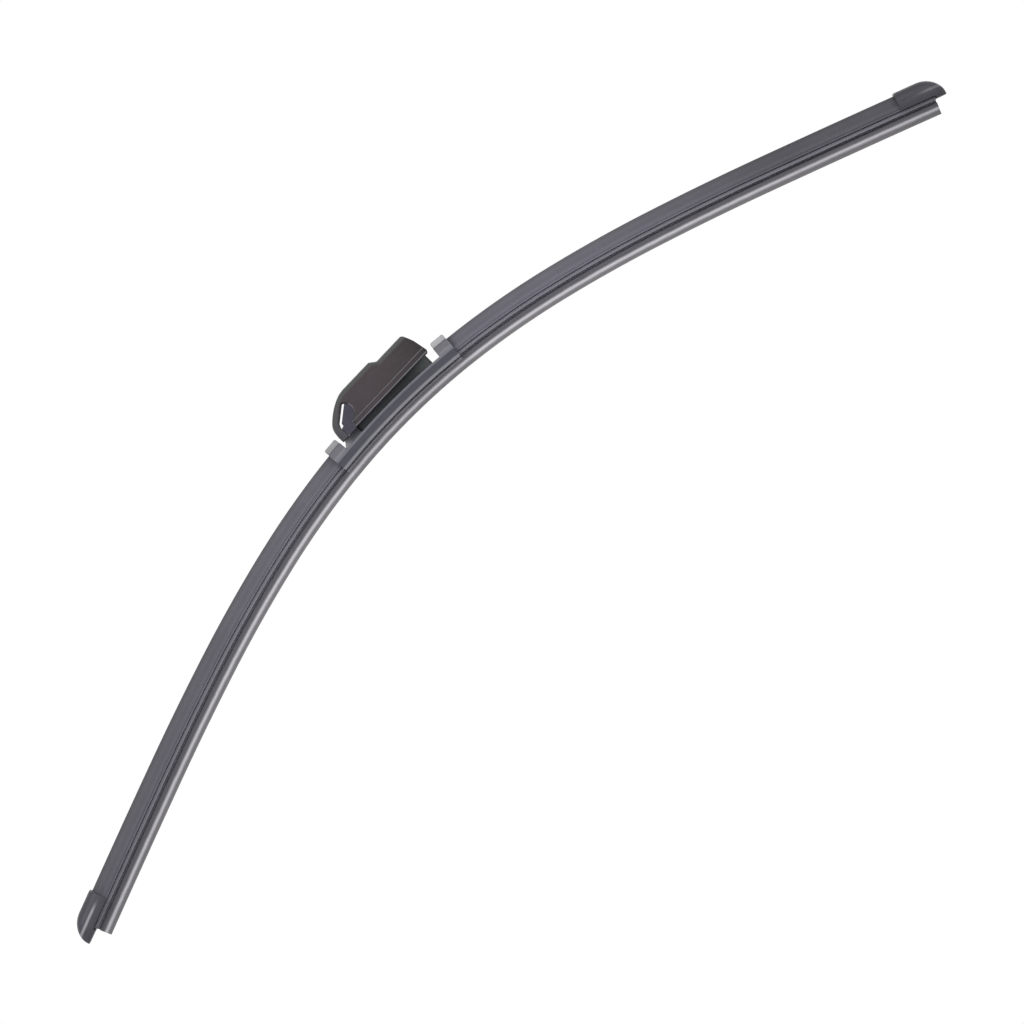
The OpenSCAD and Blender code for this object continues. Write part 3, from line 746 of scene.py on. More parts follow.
def lip_colours(n):
    """Colour of the rubber by its height over the lip edge: a painted highlight on the wedge, painted light
    in the neck.
    """
    along = n.attribute("along")
    way = n.maths("DIVIDE", n.maths("SUBTRACT", along, LIP_RISE_FROM), LIP_RISE_OVER, clamp=True)
    height = n.maths("SUBTRACT", shaken_height(n, 0.35), n.maths("MULTIPLY", way, LIP_RISE))
    # Painted highlight along the wedge, and painted light in the neck and under the claws
    ground = tones(n, height, 0.0, 12.0, LIP_TONES_AND_PAINTED_LIGHT)
    # Painted light on the neck under the base, against the base's shadow
    over_wedge = n.above(n.attribute("height"), 4.3, 1.2)
    under_base = n.maths("LESS_THAN", n.maths("ABSOLUTE", along), HALF_BASE)
    ground = n.mix(n.product(over_wedge, under_base), ground, linear(PAINTED_LIGHT_UNDER_BASE))
    return n.multiplied(ground, along_shade(n, LIP_SHADE))


# The lightest tone, at the claw's foot, is painted light against the shade of the gap under the claw
FIN_TONES = (
    (9.0, (132, 130, 141)),
    (9.6, (106, 104, 114)),
    (10.2, (99, 97, 108)),
    (11.2, (103, 102, 112)),
    (12.9, (97, 96, 106)),
    (14.8, (102, 101, 109)),
    (15.9, (94, 94, 101)),
    (17.4, (88, 88, 93)),
)
FIN_SHADE = ((-300, 0.8), (-200, 0.83), (-100, 0.95), (100, 1.08), (160, 0.93), (215, 0.62), (300, 0.68))


def fin_colours(n):
    """Colour of a spoiler: painted light at its claw's foot, dull above it, a little lighter over the skirt,
    dull again at the ridge.
    """
    # Painted light at the claw's foot, from the first stop
    ground = tones(n, shaken_height(n, 0.5), 9.0, 18.0, FIN_TONES)
    return n.multiplied(ground, along_shade(n, FIN_SHADE))


# Base shell by height, with painted highlights along the bead and along the deck's edge
BASE_TONES_AND_HIGHLIGHTS = (
    (6.3, (122, 121, 127)),
    (7.3, (138, 136, 143)),
    (7.75, (112, 112, 120)),
    (8.1, (68, 69, 78)),
    (11.1, (65, 66, 75)),
    (11.5, (112, 114, 122)),
    (13.6, (134, 133, 139)),
    (14.3, (112, 111, 118)),
    (17.2, (108, 107, 115)),
)
# Painted light on the ramp's foot, fading along x into painted shade under the adapter
RAMP_LIGHT_AND_SHADE = (
    (-32.2, (158, 158, 162)),
    (-29.5, (140, 140, 145)),
    (-26.5, (92, 92, 99)),
    (-22.0, (66, 67, 74)),
)
DECK = 12.6
BLOCK_INSIDE = 31.8


def base_colours(n):
    """Colour of the base shell: painted highlights along the bead and the deck's edge, light plinths, and
    painted light on the ramp's foot fading into painted shade.
    """
    # Painted highlights along the bead and the deck's edge
    side = tones(n, shaken_height(n, 0.25), 5.0, 21.0, BASE_TONES_AND_HIGHLIGHTS)
    x = n.place_in_mm()[0]
    # Painted light on the ramp's foot, fading into painted shade under the adapter
    ramp = tones(n, x, -33.0, -20.0, RAMP_LIGHT_AND_SHADE)
    between = n.maths("LESS_THAN", n.maths("ABSOLUTE", x), BLOCK_INSIDE)
    return n.mix(n.product(n.above(n.attribute("height"), DECK, 5.0), between), side, ramp)


CAP_TONES = ((8.0, (66, 65, 73)), (12.5, (74, 73, 82)), (16.0, (70, 69, 79)), (18.6, (50, 50, 55)))
# Cap by height with a painted highlight along the ledge
CAP_LEDGE_HIGHLIGHT_TONES = (
    (8.0, (66, 65, 73)),
    (12.1, (76, 75, 84)),
    (12.7, (172, 170, 175)),
    (13.5, (182, 180, 185)),
    (13.9, (76, 75, 84)),
    (16.0, (70, 69, 79)),
    (18.6, (50, 50, 55)),
)
# How strongly the painted ledge highlight shows along the bow: most on the left cap, a little near the right
# tip
CAP_HIGHLIGHT_SHARE = ((-299, 0.75), (-283, 0.8), (-278, 0.0), (290, 0.0), (297, 0.35), (306, 0.3))
CAP_SHADE = ((-300, 1.0), (-270, 1.0), (280, 0.78), (306, 0.8))


def cap_colours(n):
    """Colour of an end cap: dull, darker at the ridge, with a painted highlight along the ledge towards the
    tip.
    """
    height = shaken_height(n, 0.3)
    # Plain tones, and tones with the painted highlight along the ledge
    plain, with_highlight = (tones(n, height, 8.0, 19.0, stops) for stops in (CAP_TONES, CAP_LEDGE_HIGHLIGHT_TONES))
    ground = n.mix(along_shade(n, CAP_HIGHLIGHT_SHARE), plain, with_highlight)
    return n.multiplied(ground, along_shade(n, CAP_SHADE))


# Nearly black where it lies deep under the adapter, partly painted shade of that recess, and paler towards
# the rear end
CARRIER_TONES = (
    (-22.0, (30, 31, 36)),
    (10.0, (20, 22, 27)),
    (17.0, (30, 33, 35)),
    (23.0, (58, 62, 62)),
    (27.5, (66, 70, 70)),
)


def carrier_colours(n):
    """Colour of the carrier: nearly black, partly painted shade of the recess under the adapter, paler at its
    rear end.
    """
    x = n.place_in_mm()[0]
    return tones(n, x, -22.0, 28.0, CARRIER_TONES)


STOP_TONES = (
    (-40.0, (150, 150, 152)),
    (-36.0, (158, 158, 160)),
    (0.0, (166, 166, 168)),
    (36.0, (182, 182, 185)),
    (40.0, (172, 172, 176)),
)
STOP_TOP = (134, 134, 137)


def stop_colours(n):
    """Colour of the end stops: the left one is greyer, and both are duller at the top."""
    x = n.place_in_mm()[0]
    ground = tones(n, x, -41.0, 41.0, STOP_TONES)
    return n.mix(n.above(n.facing_up(), 0.2, 1.6), ground, linear(STOP_TOP))


# Adapter sides along x; the darkening at the rear end is painted shade where the rear edge turns away
ADAPTER_TONES = (
    (-31.0, (76, 76, 80)),
    (-25.5, (74, 72, 77)),
    (-20.0, (62, 55, 60)),
    (-5.0, (64, 55, 60)),
    (12.0, (58, 50, 54)),
    (25.0, (48, 43, 46)),
    (28.5, (36, 31, 36)),
)
# Painted highlights on the beads and painted shade between them
BEAD_HIGHLIGHTS_AND_SHADE = (
    (-4.2, (112, 108, 115)),
    (-3.2, (100, 96, 103)),
    (-2.9, (52, 47, 52)),
    (-1.8, (52, 47, 52)),
    (-1.5, (98, 92, 98)),
    (-0.8, (92, 86, 92)),
    (-0.5, (56, 50, 54)),
)
ADAPTER_TOP = (72, 75, 73)
# Painted highlight on the chamfer of the window's rear edge
WINDOW_EDGE_HIGHLIGHT = (132, 127, 132)

# Where the painted highlight on the chamfer of the window's rear edge lies: how far out on either side, its x
# and its upper end
EDGE_Y = (8.05, 8.56)
EDGE_X = (-20.9, -14.6)
EDGE_TOP = 6.5


def adapter_colours(n):
    """Colour of the adapter: brownish black, beads painted pale as highlights, greyer where it faces up,
    painted shade at the rear.
    """
    x, y, z = n.place_in_mm()
    out = n.maths("ABSOLUTE", y)
    # Painted shade towards the rear end
    side = tones(n, x, -31.0, 30.0, ADAPTER_TONES)
    # Painted highlights on the beads, painted shade between them
    beads = tones(n, z, -5.0, 1.0, BEAD_HIGHLIGHTS_AND_SHADE)
    ground = n.mix(n.above(out, SIDE_Y + 0.02, 12.0), side, beads)
    # Painted highlight on the chamfer of the window's rear edge
    edge = n.product(
        n.maths("LESS_THAN", out, EDGE_Y[1]),
        n.maths("GREATER_THAN", out, EDGE_Y[0]),
        n.maths("GREATER_THAN", x, EDGE_X[0]),
        n.maths("LESS_THAN", x, EDGE_X[1]),
        n.maths("LESS_THAN", z, EDGE_TOP),
    )
    ground = n.mix(edge, ground, linear(WINDOW_EDGE_HIGHLIGHT))
    return n.mix(n.above(n.facing_up(), 0.1, 2.6), ground, linear(ADAPTER_TOP))


# Usual screen colour of each moulding, which the sidebar can change
COLOURS = {
    "spoiler": (0.40, 0.395, 0.435),
    "cap": (0.29, 0.285, 0.31),
    "base": (0.28, 0.285, 0.315),
    "adapter": (0.28, 0.255, 0.27),
    "guide": (0.235, 0.23, 0.28),
    "stop": (0.66, 0.66, 0.67),
    "carrier": (0.09, 0.1, 0.11),
}

# For each moulding: by how much its rounded edges are painted lighter as a highlight (darker for the stops),
# then the values of its faces and of its edges
MOULDINGS = {
    "spoiler": (
        0,
        dict(grain=0.4, mottle=22, vary=0.12, rough=(0.55, 0.72), rubbed=0.3, dust=0.12,
             tones_of=fin_colours),
        dict(grain=0.4, vary=0.1, rough=(0.5, 0.6), rubbed=0.5),
    ),
    "cap": (
        30,
        dict(grain=0.3, depth=0.015, mottle=6, vary=0.15, rough=(0.38, 0.55), dust=0.15,
             tones_of=cap_colours),
        dict(grain=0.3, rough=(0.3, 0.45)),
    ),
    "base": (
        42,
        dict(depth=0.018, mottle=7, vary=0.14, dust=0.2, tones_of=base_colours),
        dict(rough=(0.35, 0.5)),
    ),
    "adapter": (
        38,
        dict(grain=0.3, mottle=8, rough=(0.45, 0.62), rubbed=0.35, dust=0.2, tones_of=adapter_colours),
        dict(grain=0.3, rough=(0.35, 0.5), rubbed=0.3),
    ),
    "guide": (
        34,
        dict(grain=0.3, depth=0.015, mottle=6, vary=0.12, rough=(0.4, 0.55), rubbed=0.3, dust=0.15),
        dict(grain=0.3, rough=(0.35, 0.5), rubbed=0.3),
    ),
    "stop": (
        -22,
        dict(grain=0.4, mottle=3, vary=0.08, rough=(0.45, 0.6), rubbed=0.3, rubbed_colour=(140, 140, 142),
             dust=0.1, tones_of=stop_colours),
        dict(grain=0.4, rough=(0.4, 0.55), rubbed=0.2, dust=0.0),
    ),
    "carrier": (
        24,
        dict(grain=0.5, depth=0.03, mottle=5, vary=0.2, rough=(0.5, 0.7), dust=0.15,
             tones_of=carrier_colours),
        dict(grain=0.5, rough=(0.4, 0.6), rubbed=0.3),
    ),
}
EDGE_DEPTH = 0.01
EDGE_DUST = 0.05


def screen(colour):
    """8 bit screen colour of a colour from 0 to 1."""
    return tuple(round(v * 255) for v in colour)


def finish_of(label):
    """Materials of a moulding's faces and of its rounded edges, which are painted lighter as a highlight, or
    darker on the stops.
    """
    edge_highlight, faces, edges = MOULDINGS[label]
    chosen = screen(getattr(bpy.context.scene.wiper_colours, label))
    usual = linear(screen(COLOURS[label]))
    tint = tuple(now / before for now, before in zip(linear(chosen), usual))
    # Rounded edges painted lighter as a highlight, darker on the stops
    highlight_colour = tuple(max(0, min(255, v + edge_highlight)) for v in chosen)
    return [moulding(label + "_finish", chosen, tint=tint, **faces),
            moulding(label + "_edge", highlight_colour, **{"depth": EDGE_DEPTH, "dust": EDGE_DUST, **edges})]


def rubber_finish():
    return [moulding("rubber_finish", (60, 60, 62), grain=0.25, depth=0.006, mottle=14, vary=0.1,
                     rough=(0.5, 0.62), rubbed=0.25, dust=0.05, tones_of=lip_colours)]


def rail_finish():
    return [moulding("rail_finish", (150, 151, 154), grain=0.15, depth=0.004, mottle=4, vary=0.1,
                     rough=(0.24, 0.38), rubbed=0.5, dust=0.0, metallic=1.0)]


def pivot_finish():
    return [moulding("pivot_finish", (158, 158, 160), grain=0.12, depth=0.004, mottle=3, vary=0.12,
                     rough=(0.22, 0.36), rubbed=0.4, dust=0.05, metallic=1.0)]


# Rubber, rails and spoilers

# Half widths of the rubber's section
LIP_Y = 0.35
SHOULDER_Y = 2.9
NECK_Y = 0.5
FLANGE_Y = 4.8
HEAD_Y = 3.3
WEB_Y = 1.35

# Half widths of the spoiler's section
FIN_Y = 6.6
FIN_SLOT_Y = 5.55
FIN_MOUTH_Y = 3.75
FIN_ROOM_Y = 3.6
SKIRT = CLAW + 1.8

# Distance between the sections that are carried along the bow
STEP_ALONG = 4.0


def rubber_section():
    """Closed section of the wiping rubber, from the lip edge up to the head."""
    half = [
        (LIP_Y, 0.0), (0.43, 0.7), (1.22, 2.2), (2.1, WEDGE_TOP), (SHOULDER_Y, WEDGE_TOP + 0.45),
        (SHOULDER_Y, NECK), (NECK_Y, NECK + 0.03), (NECK_Y, FLANGE), (FLANGE_Y, FLANGE + 0.03),
        (FLANGE_Y, FLANGE_TOP - 0.03), (HEAD_Y, FLANGE_TOP), (HEAD_Y, RAIL - 0.08), (WEB_Y, RAIL - 0.05),
        (WEB_Y, RAIL_TOP + 0.05), (HEAD_Y, RAIL_TOP + 0.09), (HEAD_Y, HEAD_TOP),
    ]
    radii = [0.08, 0.6, 1.5, 0.2, 0.25, 0.35, 0.35, 0.35, 0.25, 0.25, 0.12, 0.1, 0.08, 0.08, 0.1, 0.35]
    return rounded(*both_sides(half, radii), steps=3)


def fin_section():
    """Closed section of a spoiler: claws, rear slope, ridge, hollow front slope and the underside."""
    behind, before = (1.75, FIN_TOP - 0.15), (0.45, FIN_TOP - 0.3)
    rear = bend((FIN_Y, SKIRT), (FIN_Y * 0.8, SKIRT + 4.43), behind, 14)
    front = bend(before, (-FIN_Y * 0.36, SKIRT + 1.7), (-FIN_Y, SKIRT), 20)
    ridge = rounded([behind, (1.0, FIN_TOP), before], 0.5, closed=False)
    groove_y = FIN_Y - 0.16
    claw = rounded([(FIN_Y, CLAW + 1.35), (FIN_Y, CLAW + 1.1), (groove_y, CLAW + 0.98),
                    (groove_y, CLAW + 0.8), (FIN_Y, CLAW + 0.68), (FIN_Y, CLAW), (FIN_MOUTH_Y, CLAW)],
                   [0, 0.05, 0.05, 0.05, 0.05, 0.3, 0], closed=False)
    under = [(FIN_MOUTH_Y, CLAW), (FIN_MOUTH_Y, SLOT), (FIN_SLOT_Y, SLOT), (FIN_SLOT_Y, SLOT_TOP),
             (FIN_ROOM_Y, SLOT_TOP), (FIN_ROOM_Y, ROOM_TOP)]
    right = list(reversed(under)) + list(reversed(claw[:-1]))
    left = [(-y, h) for y, h in reversed(right)]
    return right + rear[:-1] + ridge + front[1:] + left


class WIPER_OT_rubber(bpy.types.Operator):
    """Draws the wiping rubber along the whole bow"""

    bl_idname = "wiper.rubber"
    bl_label = "Wiping rubber"

    def execute(self, context):
        stations = spread(RUBBER_LEFT, RUBBER_RIGHT, STEP_ALONG)
        obj = make_object("wiping_rubber", swept(rubber_section(), stations))
        mark_bow(obj)
        smooth_shade(obj, 28)
        settle(obj, BLADE, rubber_finish(), ["rubber_strip"])
        return {"FINISHED"}


class WIPER_OT_rails(bpy.types.Operator):
    """Rounds and finishes the steel rails and the clips that hold them together"""

    bl_idname = "wiper.rails"
    bl_label = "Rails and clips"

    def execute(self, context):
        rail_edge, clip_edge = 0.12, 0.15
        for node, width in (("rail_front", rail_edge), ("rail_rear", rail_edge),
                            ("rail_clip_left", clip_edge), ("rail_clip_right", clip_edge)):
            obj = copy_node(node + "_steel", node)
            soften(obj, width, angle=50, segments=2)
            smooth_shade(obj, 35)
            settle(obj, BLADE, rail_finish() * 2, [node])
        return {"FINISHED"}


class WIPER_OT_spoilers(bpy.types.Operator):
    """Draws the two spoilers, each from its end block to its cap"""

    bl_idname = "wiper.spoilers"
    bl_label = "Spoilers"

    def execute(self, context):
        inside = CAP_LEN - CAP_GRIP
        clear = HALF_BASE + 0.02
        for side, s0, s1 in (("left", RUBBER_LEFT - REACH_LEFT + inside, -clear),
                             ("right", clear, RUBBER_RIGHT + REACH_RIGHT - inside)):
            obj = make_object("spoiler_" + side + "_fin", swept(fin_section(), spread(s0, s1, STEP_ALONG)))
            mark_bow(obj)
            soften(obj, 0.12, angle=60, segments=2)
            smooth_shade(obj, 30)
            settle(obj, BLADE, finish_of("spoiler"), ["spoiler_" + side])
        return {"FINISHED"}


# End caps

CAP_Y = 7.85
CAP_TOP = FIN_TOP + 1.3
CAP_FOOT = CLAW - 0.15
TIP_FOOT = CLAW - 1.25
TIP_Y = 2.0
LEDGE_RISE = 3.8
DOME_INSET = 0.95

# Stretches before the tip over which the dome, the ledge and the sides fall away
DOME_TURN = 12.0
LEDGE_TURN = 7.0
SIDE_TURN = 9.0

# Length of the room for the rail clip, back from the end of the rubber
CLIP_ROOM = 8.1


def cap_ring(x, w, foot, ledge, top):
    """Ring of an end cap at x: lower tier of half width w from its foot to the ledge, then the dome."""
    dome_w = w - DOME_INSET
    side = rounded([(w - 1.9, foot), (w, foot), (w, ledge), (dome_w, ledge + 0.08), (dome_w, ledge + 0.38)],
                   [0, 0.35, 0.45, 0.12, 0], steps=4, closed=False)
    right = side[:-1]
    low, steps = 0.2, 20
    dome = []
    for k in range(steps + 1):
        a = math.pi * k / steps
        y = dome_w * math.copysign(abs(math.cos(a)) ** 0.72, math.cos(a))
        z = ledge + low + (top - ledge - low) * max(0.0, math.sin(a)) ** 0.8
        dome.append((y + 0.08 * dome_w * math.sin(a), z))
    left = [(-y, h) for y, h in reversed(right)]
    return [(x, y, h) for y, h in right + dome + left]


def cap_fall(x, turn):
    """Share of the full size left at x, where the last stretch of the cap turns down like an ellipse."""
    return math.sqrt(1 - (max(0.0, x - CAP_LEN + turn) / turn) ** 2)


def cap_rings(reach):
    """Rings of an end cap in its own frame, with x from its mouth to its tip."""
    step = CAP_LEN - reach + 0.8
    tip_top = TIP_FOOT + 0.2

    def ring(x, foot, narrow=0.0, sink=0.0):
        top = tip_top + (CAP_TOP - tip_top) * cap_fall(x, DOME_TURN)
        ledge = min(CAP_FOOT + 0.5 + LEDGE_RISE * cap_fall(x, LEDGE_TURN), top - 0.45)
        return cap_ring(x, TIP_Y + (CAP_Y - TIP_Y) * cap_fall(x, SIDE_TURN) - narrow, foot, ledge, top - sink)

    rings = [ring(x, CAP_FOOT, narrow, sink) for x, narrow, sink in
             ((0.0, 0.12, 0.3), (0.12, 0.04, 0.14), (0.35, 0.01, 0.04))]
    rings += [ring(x, CAP_FOOT) for x in spread(0.7, step - 0.3, 1.0)]
    tip_turn, tip_steps = math.radians(84), 18
    for i in range(tip_steps + 1):
        rings.append(ring(step + (CAP_LEN - step) * math.sin(tip_turn * i / tip_steps), TIP_FOOT))
    return rings


def cap_rooms(reach):
    """Sections cut out of an end cap, with the x where each starts and ends."""
    hold = CAP_LEN - reach
    clip_end = hold - CLIP_ROOM
    low = CLAW - 1.4
    fin = [(y, h) for y, h in fin_section()[6:-6] if h > CLAW + 1.3]
    seat = [(6.75, low)] + [(y * 1.022, h + (0.15 if h > 12 else 0.0)) for y, h in fin] + [(-6.75, low)]
    clips = mirrored([(6.25, low), (6.25, 11.35), (4.3, 12.3)])
    rails = mirrored([(5.65, SLOT), (5.65, SLOT_TOP + 0.1), (3.75, ROOM_TOP)])
    head = mirrored([(3.65, low), (3.65, SLOT + 0.1)])
    flange = mirrored([(5.1, low), (5.1, CLAW)])
    return (
        (seat, -1.0, CAP_GRIP + 0.3),
        (clips, CAP_GRIP - 0.2, clip_end),
        (rails, clip_end - 0.2, hold + 0.3),
        (head, -1.0, hold + 0.3),
        (flange, -1.0, hold + 0.3),
    )


class WIPER_OT_end_caps(bpy.types.Operator):
    """Makes the two end caps, open towards the spoilers and below, where the rubber comes out"""

    bl_idname = "wiper.end_caps"
    bl_label = "End caps"

    def execute(self, context):
        ends = (("left", RUBBER_LEFT, REACH_LEFT, -1), ("right", RUBBER_RIGHT, REACH_RIGHT, 1))
        for side, end, reach, way in ends:
            mouth = end + way * (reach - CAP_LEN)

            def put(x, y, h):
                return at_station(mouth, way * x, y, h)

            shell = loft([[put(*p) for p in ring] for ring in cap_rings(reach)])
            obj = make_object("end_cap_" + side + "_shell", shell)
            for section, x0, x1 in cap_rooms(reach):
                cut(obj, loft([[put(x, y, h) for y, h in section] for x in (x0, x1)]))
            tidy_mesh(obj, flat=math.radians(0.2))
            soften(obj, 0.18, angle=50, segments=2)
            mark_bow(obj)
            smooth_shade(obj, 34)
            settle(obj, BLADE, finish_of("cap"), ["end_cap_" + side])
        return {"FINISHED"}


# Base, stops, carrier and pivot

# Half lengths of the sleeve and of the rivet between its heads, and their radii
SLEEVE_Y = 5.05
SLEEVE_R = 2.6
SLEEVE_BORE = 1.86
RIVET_Y = 6.3
RIVET_R = 1.8


class WIPER_OT_base(bpy.types.Operator):
    """Makes the base shell under the adapter"""

    bl_idname = "wiper.base"
    bl_label = "Base shell"

    def execute(self, context):
        obj = copy_node("base_shell_moulding", "base_shell")
        soften(obj, 0.28, angle=40, segments=2)
        slice_across(obj, -39.0, 39.0, 2.0)
        mark_bow(obj)
        smooth_shade(obj, 34)
        settle(obj, BLADE, finish_of("base"), ["base_shell"])
        return {"FINISHED"}


class WIPER_OT_end_stops(bpy.types.Operator):
    """Makes the light stops on the end blocks"""

    bl_idname = "wiper.end_stops"
    bl_label = "End stops"

    def execute(self, context):
        for side in ("left", "right"):
            obj = copy_node("end_stop_" + side + "_pad", "end_stop_" + side)
            soften(obj, 0.35, angle=40, segments=3)
            smooth_shade(obj, 34)
            settle(obj, BLADE, finish_of("stop"), ["end_stop_" + side])
        return {"FINISHED"}


class WIPER_OT_carrier(bpy.types.Operator):
    """Makes the carrier with its ears, and the sleeve and rivet of the pivot"""

    bl_idname = "wiper.carrier"
    bl_label = "Carrier and pivot"

    def execute(self, context):
        obj = copy_node("carrier_casting", "pivot_carrier")
        soften(obj, 0.2, angle=40, segments=2)
        smooth_shade(obj, 34)
        settle(obj, BLADE, finish_of("carrier"), ["pivot_carrier"])

        flat, edge = SLEEVE_R - 0.15, SLEEVE_Y - 0.15
        tube = turned([(SLEEVE_BORE, SLEEVE_Y), (SLEEVE_BORE, -SLEEVE_Y), (2.0, -SLEEVE_Y), (flat, -SLEEVE_Y),
                       (SLEEVE_R, -edge), (SLEEVE_R, edge), (flat, SLEEVE_Y), (SLEEVE_BORE, SLEEVE_Y)])
        sleeve = make_object("pivot_sleeve_tube", tube)
        smooth_shade(sleeve, 40)
        settle(sleeve, BLADE, pivot_finish(), ["pivot_sleeve"])

        head = [(0.0, 6.83), (0.5, 6.84), (0.75, 6.9), (1.6, 6.9), (2.4, 6.85), (2.85, 6.7), (3.0, 6.5),
                (3.0, 6.38), (2.95, 6.35), (RIVET_R, 6.35), (RIVET_R, RIVET_Y)]
        profile = head + [(RIVET_R, -RIVET_Y)] + [(r, -y) for r, y in reversed(head[:-1])]
        rivet = make_object("pivot_rivet_pin", turned(profile))
        smooth_shade(rivet, 40)
        settle(rivet, BLADE, pivot_finish(), ["pivot_rivet"])
        return {"FINISHED"}


# Adapter and guide

NOSE_X = -30.7
NOSE_FOOT = -4.5
REAR_X = 30.6
TOP = 13.1
ROOF = 10.62
WALL_FOOT = -4.1
WALL_START = -20.7
SHELL_R = 2.9
HOLLOW_R = 1.5

# The nose draws in by this much over the first stretch
NOSE_DRAW = 2.1
NOSE_LEN = 6.6

# Beads along the foot of the side walls: how far they stand out, their height and the gap between them
BEAD_OUT = 0.35
BEAD_H = 0.8
BEAD_STEP = 2.5

# Window in the nose: its front rim and its curved rear edge, with a chamfer outside
RIM = [(-26.4, -6.0), (-26.6, 1.2), (-25.7, 3.1)]
WINDOW_CURVE = [(-17.8, 9.0), (-16.3, 7.6), (-15.4, 5.6), (-15.4, 3.4), (-16.6, 1.4), (-18.6, -0.9),
                (-20.3, -3.0), (WALL_START, WALL_FOOT)]
CHAMFER = 0.45

# Hook seat, its tongue and the ribs beside the arm
SEAT_R = 4.3
SEAT_BORE = 2.65
TONGUE_Y = 4.95
TONGUE_END = 24.2
RIB_Y = (4.75, 5.95)


def top_line():
    """Profile of the adapter's top as (x, z), from the nose to the rear."""
    nose = curve_through([(NOSE_X, -1.2), (-30.42, 0.7), (-30.05, 2.15), (-29.4, 3.6), (-28.0, 5.3),
                          (-25.0, 7.85), (-22.0, 9.85), (-20.0, 10.95), (-18.0, 11.85), (-16.0, 12.55),
                          (-14.0, 12.95), (-12.0, TOP)], 4)
    step = [(-12.0, TOP), (5.5, TOP), (8.7, ROOF), (REAR_X, ROOF)]
    rear = rounded(step, [0, 1.1, 1.2, 0], steps=6, closed=False)
    return nose + rear[1:]


def top_at(x, line):
    """Height of the profile at x."""
    for (x0, z0), (x1, z1) in zip(line, line[1:]):
        if x0 <= x <= x1 and x1 > x0:
            return z0 + (z1 - z0) * (x - x0) / (x1 - x0)
    return line[-1][1]


def housing_ring(x, top, half, bottom, r, steps=8):
    """Ring of the housing at x: upright sides, rounded shoulders of radius r and a flat top."""
    arc = []
    for k in range(steps + 1):
        a = math.pi / 2 * k / steps
        arc.append((half - r + r * math.cos(a), top - r + r * math.sin(a)))
    return [(x, y, z) for y, z in mirrored([(half, bottom)] + arc)]


def nose_half(x):
    """Half width of the adapter at x, drawn in at the nose."""
    t = min(1.0, max(0.0, (x - NOSE_X) / NOSE_LEN))
    return SIDE_Y - NOSE_DRAW * (1 - t) ** 3.4


def housing_body():
    """Outer body of the adapter, before it is hollowed."""
    line = top_line()
    xs = []
    for x in sorted([x for x, z in line] + spread(NOSE_X, NOSE_X + 7, 0.6)):
        if not xs or x - xs[-1] > 0.05:
            xs.append(x)
    return loft([housing_ring(x, top_at(x, line), nose_half(x), NOSE_FOOT, SHELL_R) for x in xs])


def housing_cuts():
    """What is cut out of the adapter: its hollow, window, low sides, nose slot and rear end."""
    hollow = [(-28.5, 1.2, 6.3), (-27.7, 2.2, 6.6), (-26.9, 2.8, 6.85), (-24.1, 4.6, 7.2), (-17.9, 9.1, 7.2),
              (-14.5, 11.0, 7.2), (4.0, 11.1, 7.2), (7.2, 8.7, 7.2), (31.5, 8.7, 7.2)]
    window = rounded(RIM + WINDOW_CURVE + [(WALL_START, -6.0)],
                     [0, 0.8, 0.6, 0.7, 1.5, 2.0, 2.0, 2.0, 2.0, 1.0, 0.5, 0], steps=4)
    wide = grown(window, CHAMFER)
    deep, shallow, past = SIDE_Y - 0.5, SIDE_Y - 0.05, 12.0
    layers = ((-past, wide), (-shallow, wide), (-deep, window), (deep, window), (shallow, wide), (past, wide))
    rear = [(28.8, -6.0), (28.8, WALL_FOOT), (29.6, -3.2), (28.4, 4.0), (27.4, 7.0), (26.2, 9.8),
            (25.0, 10.65), (25.0, 13.0), (34.0, 13.0), (34.0, -6.0)]
    return (
        loft([housing_ring(x, top, half, -6.0, HOLLOW_R, steps=5) for x, top, half in hollow]),
        loft([[(x, y, z) for x, z in outline] for y, outline in layers]),
        block(WALL_START, 31.0, -7.0, WALL_FOOT, past),
        block(-31.7, -27.5, -7.0, -0.6, 5.1),
        plate(rounded(rear, [0, 0.3, 0.7, 3, 4, 2, 0.6, 0, 0, 0], steps=4), -past, past),
    )


def housing_beads():
    """Two beads along the foot of each side wall."""
    out = []
    for side in (-1, 1):
        for low, end in ((WALL_FOOT, 28.75), (WALL_FOOT + BEAD_STEP, 29.2)):
            edge, high = SIDE_Y + BEAD_OUT, low + BEAD_H
            bead = rounded([(7.9, low), (edge, low), (edge, high), (7.9, high)], [0, 0.25, 0.25, 0], steps=3)
            out.append(loft([[(x, side * y, z) for y, z in bead] for x in (WALL_START, end)]))
    return out


